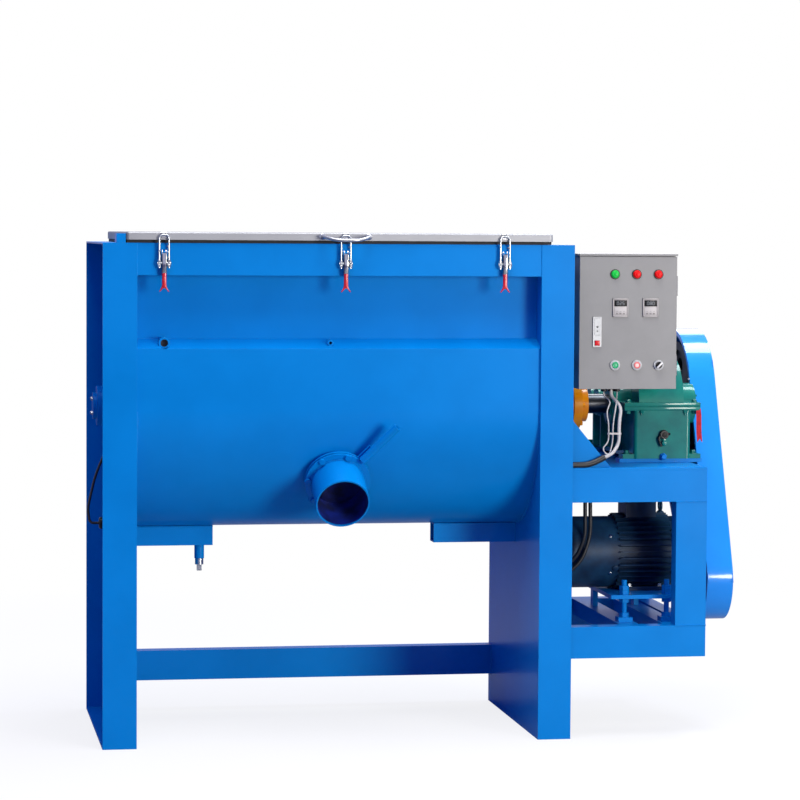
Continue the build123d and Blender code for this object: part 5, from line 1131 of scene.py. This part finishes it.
@dataclass
class MotorDress:
    """Screws, lifting eye, foot bolts and cable glands of the motor."""

    shield: float = 92.0
    eye: float = 15.0
    eye_inset: float = 40.0
    eye_foot: float = 118.0
    foot_side: float = 78.0
    foot_end: float = 62.0
    foot_height: float = 12.0
    lid_inset: float = 10.0
    cowl_inset: float = 14.0
    cowl_turn: float = 0.175
    gland: tuple[float, float] = (-20.0, 22.0)
    plug: Point = (12.0, -96.0, -38.0)
    plug_facing: Point = (0.0, -1.0, -0.35)

    def build(self) -> None:
        """Dress the motor."""
        low, high = span("motor_body")
        cowl_low, cowl_high = span("motor_fan_cover")
        box_low, box_high = span("motor_terminal_box")
        y, z = middle("motor_fan_cover").yz
        angles = [pi / 4 + n * pi / 2 for n in range(4)]
        ends = [(high.x, y + self.shield * cos(a), z + self.shield * sin(a)) for a in angles]
        Fasteners("shield_bolts", ends, RIGHT, 7.0, 6.0).build()
        feet = [(x, y + side, low.z + self.foot_height)
                for x in (low.x + self.foot_end, high.x - self.foot_end)
                for side in (-self.foot_side, self.foot_side)]
        Fasteners("motor_foot_bolts", feet, UP, 9.0, 7.0).build()
        lid = [(x, side, box_high.z) for x in (box_low.x + self.lid_inset, box_high.x - self.lid_inset)
               for side in (box_low.y + self.lid_inset, box_high.y - self.lid_inset)]
        Fasteners("terminal_screws", lid, UP, 3.6, 2.2, 0.6, 1.3, Head.ROUND).build()
        radius = (cowl_high.z - cowl_low.z) / 2
        for name, share in (("front", self.cowl_turn), ("rear", -self.cowl_turn)):
            angle = pi + share * pi
            spot = [(cowl_high.x - self.cowl_inset, y + radius * cos(angle), z + radius * sin(angle))]
            Fasteners(f"cowl_screw_{name}", spot, (0, cos(angle), sin(angle)), 4.2, 2.0, 0.6, 1.4,
                      Head.ROUND).build()
        part = Solids()
        x, top = high.x - self.eye_inset, z + self.eye_foot
        part.lathe((x, y, top), UP, [(-12, 0), (-12, 11), (5, 11), (6.5, 8), (9, 6), (9, 0)], 24)
        part.torus((x, y, top + 9 + self.eye), RIGHT, self.eye, 4.2)
        across, up = self.gland
        part.lathe((box_low.x, y + across, (box_low.z + box_high.z) / 2 + up), LEFT, [
            (-2, 0), (-2, 13), (6, 13), (6.5, 11), (16, 11), (19, 8), (19, 0)], 6)
        part.lathe((low.x + self.plug[0], y + self.plug[1], z + self.plug[2]), self.plug_facing, [
            (0, 0), (0, 9), (10, 9), (11, 7), (11, 0)], 20)
        part.piece("motor_lifting_eye", (MOTOR_ENAMEL,), "machine")


@dataclass
class FanGrille:
    """Ring wires of the fan's guard, laid on the end of the cowl by geometry nodes."""

    rings: int = 7
    wire: float = 1.5
    pitch: float = 12.0
    first: float = 1.6

    def tree(self) -> bpy.types.NodeTree:
        """Build the tree: a ring of wire for each copy of the point, one pitch wider each time.

        Returns:
            The tree.
        """
        tree, given = start_tree("fan_grille_rings", {"Rings": "Int", "Wire": "Float", "Pitch": "Float"})
        copies = add_node(tree, "GeometryNodeDuplicateElements", {"domain": "POINT"}, {
            "Geometry": given["Geometry"], "Amount": given["Rings"]})
        number = add_node(tree, "ShaderNodeMath", {"operation": "ADD"}, {
            0: copies.outputs["Duplicate Index"], 1: self.first})
        size = add_node(tree, "ShaderNodeMath", {"operation": "MULTIPLY"}, {
            0: number.outputs["Value"], 1: given["Pitch"]})
        circle = add_node(tree, "GeometryNodeCurvePrimitiveCircle", inputs={"Resolution": 48, "Radius": 1.0})
        laid = add_node(tree, "GeometryNodeInstanceOnPoints", inputs={
            "Points": copies.outputs["Geometry"], "Instance": circle.outputs["Curve"],
            "Rotation": (0.0, pi / 2, 0.0), "Scale": size.outputs["Value"]})
        real = add_node(tree, "GeometryNodeRealizeInstances", inputs={"Geometry": laid.outputs["Instances"]})
        section = add_node(tree, "GeometryNodeCurvePrimitiveCircle", inputs={
            "Resolution": 8, "Radius": given["Wire"]})
        wires = add_node(tree, "GeometryNodeCurveToMesh", inputs={
            "Curve": real.outputs["Geometry"], "Profile Curve": section.outputs["Curve"]})
        end_tree(tree, wires.outputs["Mesh"], given["Material"])
        return tree

    def build(self) -> None:
        """Grow the rings."""
        cowl = span("motor_fan_cover")[0]
        centre = middle("motor_fan_cover")
        grow([(cowl.x - self.wire, centre.y, centre.z)], False, self.tree(), {
            "Rings": self.rings, "Wire": self.wire * MM, "Pitch": self.pitch * MM}, ZINC_PLATE)


@dataclass
class CableDress:
    """Gland nuts where the cables enter, and the heater's terminal nut."""

    web_nuts: tuple[Point, ...] = ((1305.0, 184.0, 490.0), (1305.0, 187.0, 466.0))
    web_nut: float = 10.5
    box_glands: tuple[float, ...] = (1517.0, 1538.0, 1557.0)
    box_gland_y: float = 100.0
    heater_y: float = 340.0
    heater_rise: float = 18.0

    def build(self) -> None:
        """Turn the nuts."""
        part = Solids()
        nut = self.web_nut
        for place in self.web_nuts:
            part.lathe(place, RIGHT, [
                (0, 0), (0, nut + 3), (3, nut + 3), (3.2, nut), (12, nut), (16, nut - 2.4), (16, 0)], 6)
        cap_low, cap_high = span("heater_cap")
        part.lathe((cap_high.x, self.heater_y, cap_low.z + self.heater_rise), LEFT, [
            (-0.5, 0), (-0.5, 24), (5, 24), (6, 22), (12, 22), (12, 0)], 6)
        part.piece("cable_gland_nuts", (ZINC_PLATE,), "machine")
        floor = span("control_box")[0].z
        glands = Solids()
        for x in self.box_glands:
            glands.lathe((x, self.box_gland_y, floor + 0.5), DOWN, [
                (0, 0), (0, 11), (3, 11), (3.4, 9.4), (9, 9.4), (10, 8), (10, 0)], 20)
        glands.piece("box_gland_rings", (BLACK_MOULDING,), "machine")


@dataclass
class BearingDress:
    """Grease nipples and cap screws of the shaft bearings."""

    nipple: float = 58.0
    nipple_insets: tuple[float, float] = (40.0, 22.0)
    cap_circle: float = 31.0

    def build(self) -> None:
        """Dress both bearings."""
        low, high = span("main_bearings")
        y, z = (low.y + high.y) / 2, (low.z + high.z) / 2
        part = Solids()
        for x in (low.x + self.nipple_insets[0], high.x - self.nipple_insets[1]):
            part.lathe((x, y, z + self.nipple), UP, [
                (0, 0), (0, 6), (4, 6), (4.5, 3.2), (9, 3.2), (10, 4.2), (12.5, 3.4), (14, 1.6), (14, 0)], 16)
        part.piece("grease_nipples", (ZINC_PLATE,), "machine")
        angles = [pi / 4 + n * pi / 2 for n in range(4)]
        caps = [(low.x, y + self.cap_circle * cos(a), z + self.cap_circle * sin(a)) for a in angles]
        Fasteners("bearing_cap_screws", caps, LEFT, 4.4, 4.0, 0.8, 1.3, Head.ROUND).build()


@dataclass
class HingeDress:
    """Screws of the lid hinges and of the latch bases."""

    hinges: tuple[float, ...] = (300.0, 700.0, 1100.0)
    hinge_half: float = 34.0
    hinge_face: float = 753.0
    hinge_rows: tuple[float, float] = (1402.0, 1436.0)
    base_half: float = 12.5
    base_sunk: float = 3.0
    base_inset: float = 6.0

    def build(self) -> None:
        """Put in the screws."""
        screws = [(x + side, self.hinge_face, z) for x in self.hinges
                  for side in (-self.hinge_half, self.hinge_half) for z in self.hinge_rows]
        Fasteners("hinge_screws", screws, BACK, 6.0, 2.6, 0.6, 1.3, Head.ROUND).build()
        low, high = span("latch_bases")
        spots = [(middle(f"latch_lever_{number}").x + side, high.y - self.base_sunk, z)
                 for number in (1, 2, 3) for side in (-self.base_half, self.base_half)
                 for z in (low.z + self.base_inset, high.z - self.base_inset)]
        Fasteners("latch_screws", spots, FRONT, 2.6, 1.0, 0.4, 1.3, Head.ROUND).build()


@dataclass
class GuardDress:
    """Turned hem and fixing bolts of the belt guard, whose outline runs round two circles."""

    hem: float = 2.2
    hem_inset: float = 1.8
    faces: tuple[float, float] = (1.2, 1.8)
    bolt_inset: float = 8.5
    large: Point = (625.0, 985.0, 225.0)
    large_bolts: tuple[float, ...] = (0.4, 1.6, 2.8)
    small: Point = (310.0, 445.0, 130.0)
    small_bolts: tuple[float, ...] = (-2.6, -1.4, -0.4)

    def rim(self, circle: Point, inset: float, angles: Iterable[float]) -> Profile:
        """Give places across and up, at an inset from one of the circles."""
        y, z, radius = circle
        return [(y + (radius - inset) * cos(a), z + (radius - inset) * sin(a)) for a in angles]

    def build(self) -> None:
        """Run the hem round both faces of the guard and set the bolts."""
        low, high = span("belt_guard")
        (ay, az, ar), (by, bz, br) = self.large, self.small
        away = atan2(bz - az, by - ay)
        spread = acos((ar - br) / hypot(by - ay, bz - az))
        long_way = [away + spread + (2 * pi - 2 * spread) * n / 24 for n in range(25)]
        short_way = [away - spread + 2 * spread * n / 16 for n in range(17)]
        line = self.rim(self.large, self.hem_inset, long_way)
        line += self.rim(self.small, self.hem_inset, short_way)
        line.append(line[0])
        part = Solids()
        for x in (low.x + self.faces[0], high.x - self.faces[1]):
            part.tube([(x, y, z) for y, z in line], self.hem / 2, 8, 3)
        part.piece("guard_hem", (GUARD_ENAMEL,), "machine")
        spots = self.rim(self.large, self.bolt_inset, self.large_bolts)
        spots += self.rim(self.small, self.bolt_inset, self.small_bolts)
        Fasteners("guard_bolts", [(low.x, y, z) for y, z in spots], LEFT, 4.6, 3.5, 0.8, 1.3).build()


# Frame, spout and socket

@dataclass
class FrameCaps:
    """Plates that close the ends of the drive frame's hollow sections."""

    wall: float = 4.2
    plate: float = 3.6
    end: float = 1818.6
    across: tuple[tuple[float, float], ...] = ((15.0, 65.0), (685.0, 735.0))
    levels: tuple[tuple[float, float], ...] = ((240.0, 335.0), (710.0, 805.0))

    def build(self) -> None:
        """Set a plate in each of the four open ends."""
        part = Solids()
        for y_low, y_high in self.across:
            for z_low, z_high in self.levels:
                part.box((self.end - self.plate, y_low + self.wall, z_low + self.wall),
                         (self.end, y_high - self.wall, z_high - self.wall), 0.8)
        part.piece("drive_frame_caps", (BLUE_ENAMEL,), "machine")


@dataclass
class SpoutDress:
    """Welded rings of the discharge spout, and a dark skin in its bore that paints the shade inside the pipe."""

    x: float = 697.0
    bore: float = 79.5
    lean: float = 27.0
    drop: float = 36.6
    flange: float = 395.5
    mouth: float = 508.8
    skin_along: tuple[float, float] = (389.5, 505.0)
    skin_radius: tuple[float, float] = (74.3, 74.85)
    steps: int = 48

    def axis(self) -> tuple[Vector, Vector]:
        """Give the point where the spout's axis is nearest to the trough's, and its direction outwards."""
        slope = radians(self.lean)
        foot = Vector((self.x, SHAFT_Y + self.drop * sin(slope), SHAFT_Z - self.drop * cos(slope)))
        return foot, Vector((0, -cos(slope), -sin(slope)))

    def ring(self, along: float, radius: float) -> list[Point]:
        """Give points round the spout.

        Args:
            along: Distance from the foot of the spout's axis.
            radius: Radius of the ring.

        Returns:
            Places in millimetres from the machine's front left foot.
        """
        foot, out = self.axis()
        up = Vector((0, out.z, -out.y))
        across = Vector(RIGHT)
        angles = [2 * pi * n / self.steps for n in range(self.steps + 1)]
        return [tuple(foot + out * along + across * radius * cos(a) + up * radius * sin(a)) for a in angles]

    def build(self) -> None:
        """Run the beads and line the bore with the painted shade."""
        Weld("spout_flange_bead", self.ring(self.flange, self.bore + 1.0), 5.0).build()
        Weld("spout_rim", self.ring(self.mouth, self.bore - 2.2), 2.6, pitch=0.4).build()
        foot, out = self.axis()
        near, far = self.skin_along
        inner, outer = self.skin_radius
        # Dark skin inside the bore: painted shade of the pipe's inside
        skin = Solids()
        skin.lathe(tuple(foot), tuple(out), [
            (near, outer), (far, outer), (far, inner), (near, inner), (near, outer)], 64)
        skin.piece("spout_bore_shade", (SHADED_BORE,), "machine")


@dataclass
class SocketDress:
    """Threaded bore of the jacket's fill socket, lined with dark steel as painted shade inside it."""

    centre: Point = (181.0, 48.0, 1188.0)
    radius: float = 10.9
    depth: float = 21.5
    wall: float = 0.7

    def build(self) -> None:
        """Turn a thin cup that lines the bore with the painted shade."""
        inner = self.radius - self.wall
        # Dark cup in the bore: painted shade inside the socket
        skin = Solids()
        skin.lathe(self.centre, FRONT, [
            (0, 0), (0, self.radius), (self.depth, self.radius), (self.depth, inner), (self.wall, inner),
            (self.wall, 0)], 24)
        skin.piece("fill_socket_bore_shade", (TURNED_STEEL,), "machine")


@dataclass
class WeldRuns:
    """Visible beads of frames, trough, jacket and drive frame."""

    face: float = 3.0
    rail: tuple[float, float] = (1386.0, 1478.0)
    flank: tuple[float, float] = (1200.0, 1386.0)
    flank_y: float = 70.5
    jacket_inset: float = 4.0
    jacket_y: float = 71.0
    jacket_top: float = 1199.0
    platform: tuple[float, float] = (1406.0, 1812.0)
    platform_rows: tuple[float, float] = (17.0, 733.5)
    platform_z: float = 813.0
    gusset_x: float = 1400.5
    gusset_y: float = 34.5
    gusset_z: float = 813.5
    gusset_foot: tuple[float, float] = (1402.0, 1520.0)
    gusset_rise: tuple[float, float] = (816.0, 958.0)
    post: tuple[float, float] = (1724.0, 1819.0)
    post_y: float = 15.2
    post_head: float = 710.0
    post_foot: float = 335.0
    tie: tuple[float, float] = (94.0, 188.0)
    tie_y: float = 700.0
    saddles: tuple[tuple[float, float], ...] = ((104.0, 356.0), (1044.0, 1296.0))
    saddle_half: float = 30.5
    saddle_z: float = 618.5
    jacket: float = 366.0

    def level(self, reach: tuple[float, float], y: float, z: float, width: float) -> Run:
        """Give start, end and width of a bead that runs from left to right."""
        return (reach[0], y, z), (reach[1], y, z), width

    def rising(self, x: float, y: float, rise: tuple[float, float], width: float) -> Run:
        """Give start, end and width of a bead that runs upwards."""
        return (x, y, rise[0]), (x, y, rise[1]), width

    def pair(self, name: str, y: float, rise: tuple[float, float], width: float) -> dict[str, Run]:
        """Give an upright bead at each web, by name."""
        return {f"{name}_{side}_bead": self.rising(x, y, rise, width)
                for side, x in (("left", WEB_LEFT), ("right", WEB_RIGHT))}

    def straight(self) -> dict[str, Run]:
        """List the straight beads by name.

        Returns:
            Start, end and width of each.
        """
        top = (WEB_LEFT + self.jacket_inset, WEB_RIGHT - self.jacket_inset)
        front, rear = self.platform_rows
        runs = {
            **self.pair("rail", self.face, self.rail, 5.0),
            "jacket_top_bead": self.level(top, self.jacket_y, self.jacket_top, 6.0),
            **self.pair("trough", self.flank_y, self.flank, 5.0),
            "platform_front_bead": self.level(self.platform, front, self.platform_z, 4.5),
            "gusset_bead": self.level(self.gusset_foot, self.gusset_y, self.gusset_z, 4.5),
            "gusset_web_bead": self.rising(self.gusset_x, self.gusset_y, self.gusset_rise, 4.5),
            "post_head_bead": self.level(self.post, self.post_y, self.post_head, 4.0),
            "post_foot_bead": self.level(self.post, self.post_y, self.post_foot, 4.0),
            "platform_rear_bead": self.level(self.platform, rear, self.platform_z, 4.5),
            **self.pair("tie", self.tie_y, self.tie, 4.5),
        }
        for side, reach in zip(("left", "right"), self.saddles):
            for row, y in (("front", SHAFT_Y - self.saddle_half), ("rear", SHAFT_Y + self.saddle_half)):
                runs[f"saddle_{side}_bead_{row}"] = self.level(reach, y, self.saddle_z, 5.0)
        return runs

    def build(self) -> None:
        """Run the straight beads, then the arcs of the jacket along both webs."""
        for name, (start, end, width) in self.straight().items():
            Weld(name, [start, end], width).build()
        angles = [pi + pi * n / 36 for n in range(37)]
        for side, x in (("left", WEB_LEFT + 1.0), ("right", WEB_RIGHT - 1.0)):
            arc = [(x, SHAFT_Y + self.jacket * cos(a), SHAFT_Z + self.jacket * sin(a)) for a in angles]
            Weld(f"jacket_bead_{side}", arc, 6.0).build()


# Tag

@dataclass
class Tag:
    """Strip of red tape that hangs from the gearbox flange, with a folded head and a swallow tail."""

    width: float = 16.0
    length: float = 105.0
    notch: float = 12.0
    lean: float = 5.0
    thickness: float = 0.6
    pinch: float = 0.14
    wave: float = 0.5
    twist: float = 0.35
    across: int = 8
    down: int = 42
    tail_rows: int = 6

    def place(self, n: int, side: float, top: Vector) -> Point:
        """Give one corner of the cloth.

        Args:
            n: Row, counted from the top.
            side: Place across the tape, from -1 to 1.
            top: Middle of the upper edge.

        Returns:
            Place in millimetres from the machine's front left foot.
        """
        drop = n / self.down
        tail = max(0, n - self.down + self.tail_rows) / self.tail_rows
        fall = drop * self.length - self.notch * (1 - abs(side)) * tail
        half = self.width / 2 * (1 - self.pinch + self.pinch * min(1.0, drop * 5))
        return (top.x + side * half + self.lean * drop ** 1.3 + self.wave * sin(7 * drop),
                top.y - self.wave * sin(5.2 * drop + 0.6 * side) - self.twist * side * sin(3 * drop),
                top.z - fall)

    def build(self) -> None:
        """Hang the tape with a slow twist and a small wave."""
        centre = middle("gearbox_tag")
        top = Vector((centre.x - self.lean / 2, centre.y, span("gearbox_tag")[1].z))
        cloth = bmesh.new()
        rows = [[cloth.verts.new(self.place(n, 2 * k / self.across - 1, top)) for k in range(self.across + 1)]
                for n in range(self.down + 1)]
        for upper, lower in zip(rows, rows[1:]):
            for k in range(self.across):
                cloth.faces.new((upper[k], lower[k], lower[k + 1], upper[k + 1]))
        to_frame(cloth)
        data = bpy.data.meshes.new("cloth_tag")
        cloth.to_mesh(data)
        cloth.free()
        item = placed("cloth_tag", data)
        thick = item.modifiers.new("thickness", "SOLIDIFY")
        thick.thickness = self.thickness * MM
        thick.offset = 0.0
        flatten(item)
        settle(item, (TAPE_CLOTH,), "machine", ("gearbox_tag",))


def sub_assemblies() -> list[Any]:
    """List the dressed sub-assemblies in the order in which they are built."""
    return [PilotLamps(), PanelMeters(), DoorLock(), PushButtons(), Latch(1), Latch(2), Latch(3), LidTrim(),
            GearboxDress(), MotorDress(), FanGrille(), CableDress(), BearingDress(), HingeDress(),
            GuardDress(), FrameCaps(), SpoutDress(), SocketDress(), Tag(), WeldRuns()]


# Studio

@dataclass(frozen=True)
class Lamp:
    """A round soft lamp: where it hangs, what it points at, its diameter in metres, watts and tone."""

    name: str
    place: Point
    aim: Point
    size: float
    power: float
    tone: str

    def build(self) -> None:
        """Hang the lamp."""
        data = bpy.data.lights.new(self.name, "AREA")
        data.shape = "DISK"
        data.size = self.size
        data.energy = self.power
        data.color = linear(self.tone)[:3]
        lamp = placed(self.name, data)
        lamp.location = at(*self.place)
        lamp.rotation_euler = (at(*self.aim) - at(*self.place)).to_track_quat("-Z", "Y").to_euler()


@dataclass
class Studio:
    """Camera, floor and lamps. Places are millimetres from the machine's front left foot."""

    eye: Point = (-580.0, -8500.0, 1520.0)
    yaw: float = 9.714
    pitch: float = 3.313
    roll: float = 0.358
    lens: float = 131.74
    floor_size: float = 60.0
    floor_glow: float = 0.84
    soft_light: float = 0.64
    reflected: float = 0.45
    lamps: tuple[Lamp, ...] = (
        Lamp("key", (5400.0, -7400.0, 1500.0), (900.0, 200.0, 800.0), 2.8, 560.0, "#fffaf0"),
        Lamp("sky", (700.0, -900.0, 5200.0), (900.0, 300.0, 900.0), 3.0, 205.0, "#fffdfa"),
        Lamp("rim", (3000.0, 900.0, 5000.0), (1800.0, 400.0, 1000.0), 1.6, 110.0, "#f4fcff"),
        Lamp("side", (4600.0, -600.0, 2600.0), (1500.0, 300.0, 800.0), 2.0, 25.0, "#ffffff"),
        Lamp("back", (2800.0, 4200.0, 3200.0), (700.0, 400.0, 800.0), 2.4, 60.0, "#ffffff"))

    def build(self) -> None:
        """Make camera, floor, lamps and world."""
        self.camera()
        self.floor()
        for lamp in self.lamps:
            lamp.build()
        self.world()

    def camera(self) -> None:
        """Put the camera where the photograph was taken from."""
        data = bpy.data.cameras.new("camera")
        data.lens = self.lens
        data.clip_end = 100.0
        camera = placed("camera", data)
        yaw, pitch, roll = radians(self.yaw), radians(self.pitch), radians(self.roll)
        look = Vector((sin(yaw) * cos(pitch), cos(yaw) * cos(pitch), -sin(pitch)))
        level = Vector((cos(yaw), -sin(yaw), 0))
        up = level.cross(look)
        right = level * cos(roll) + up * sin(roll)
        top = up * cos(roll) - level * sin(roll)
        turn = Matrix((right, top, -look)).transposed()
        camera.matrix_world = Matrix.Translation(at(*self.eye)) @ turn.to_4x4()
        bpy.context.scene.camera = camera

    def floor(self) -> None:
        """Lay a plain pale floor that the camera sees fade to white away from the machine."""
        mesh = bpy.data.meshes.new("floor")
        half = self.floor_size / 2
        mesh.from_pydata([(-half, -half, 0), (half, -half, 0), (half, half, 0), (-half, half, 0)], [],
                         [(0, 1, 2, 3)])
        material = bpy.data.materials.new("floor_paper")
        tree = empty_tree(material)
        seen = add_node(tree, "ShaderNodeLightPath").outputs["Is Camera Ray"]
        tone = add_node(tree, "ShaderNodeMix", {"data_type": "RGBA"}, {
            "Factor": seen, "A": linear("#9a9a9a"), "B": linear("#f8f8f8")})
        paper = add_node(tree, "ShaderNodeBsdfDiffuse", inputs={"Color": tone.outputs["Result"]})
        white = add_node(tree, "ShaderNodeEmission", inputs={"Color": (1, 1, 1, 1), "Strength": 1.0})
        place = add_node(tree, "ShaderNodeTexCoord").outputs["Object"]
        away = add_node(tree, "ShaderNodeVectorMath", {"operation": "LENGTH"}, {0: place})
        fade = add_node(tree, "ShaderNodeMapRange", inputs={
            "Value": away.outputs["Value"], "From Min": 1.2, "From Max": 3.6, "To Min": self.floor_glow,
            "To Max": 1.0})
        share = add_node(tree, "ShaderNodeMath", {"operation": "MULTIPLY"}, {
            0: seen, 1: fade.outputs["Result"]})
        mixed = add_node(tree, "ShaderNodeMixShader", inputs={
            0: share.outputs["Value"], 1: paper.outputs["BSDF"], 2: white.outputs["Emission"]})
        add_node(tree, "ShaderNodeOutputMaterial", inputs={"Surface": mixed.outputs["Shader"]})
        mesh.materials.append(material)
        placed("floor", mesh)

    def world(self) -> None:
        """Light everything with a soft cool sky, and show white to the camera and, dimmed, in reflections."""
        world = bpy.data.worlds.new("studio")
        tree = empty_tree(world)
        soft = add_node(tree, "ShaderNodeBackground", inputs={
            "Color": linear("#526ee6"), "Strength": self.soft_light})
        white = add_node(tree, "ShaderNodeBackground", inputs={"Color": (1, 1, 1, 1), "Strength": 1.0})
        path = add_node(tree, "ShaderNodeLightPath")
        either = add_node(tree, "ShaderNodeMath", {"operation": "MAXIMUM"}, {
            0: path.outputs["Is Camera Ray"], 1: path.outputs["Is Transmission Ray"]})
        mirrored = add_node(tree, "ShaderNodeMath", {"operation": "MULTIPLY"}, {
            0: path.outputs["Is Glossy Ray"], 1: self.reflected})
        any_seen = add_node(tree, "ShaderNodeMath", {"operation": "MAXIMUM"}, {
            0: either.outputs["Value"], 1: mirrored.outputs["Value"]})
        mixed = add_node(tree, "ShaderNodeMixShader", inputs={
            0: any_seen.outputs["Value"], 1: soft.outputs["Background"], 2: white.outputs["Background"]})
        add_node(tree, "ShaderNodeOutputWorld", inputs={"Surface": mixed.outputs["Shader"]})
        bpy.context.scene.world = world
        bpy.context.scene.view_settings.view_transform = "Standard"


def main() -> None:
    """Build the studio, dress the nodes and add each sub-assembly's fine pieces."""
    logging.basicConfig(level=logging.INFO, format="%(message)s")
    Studio().build()
    WARDROBE.dress_nodes()
    for sub_assembly in sub_assemblies():
        sub_assembly.build()


if __name__ == "__main__":
    main()
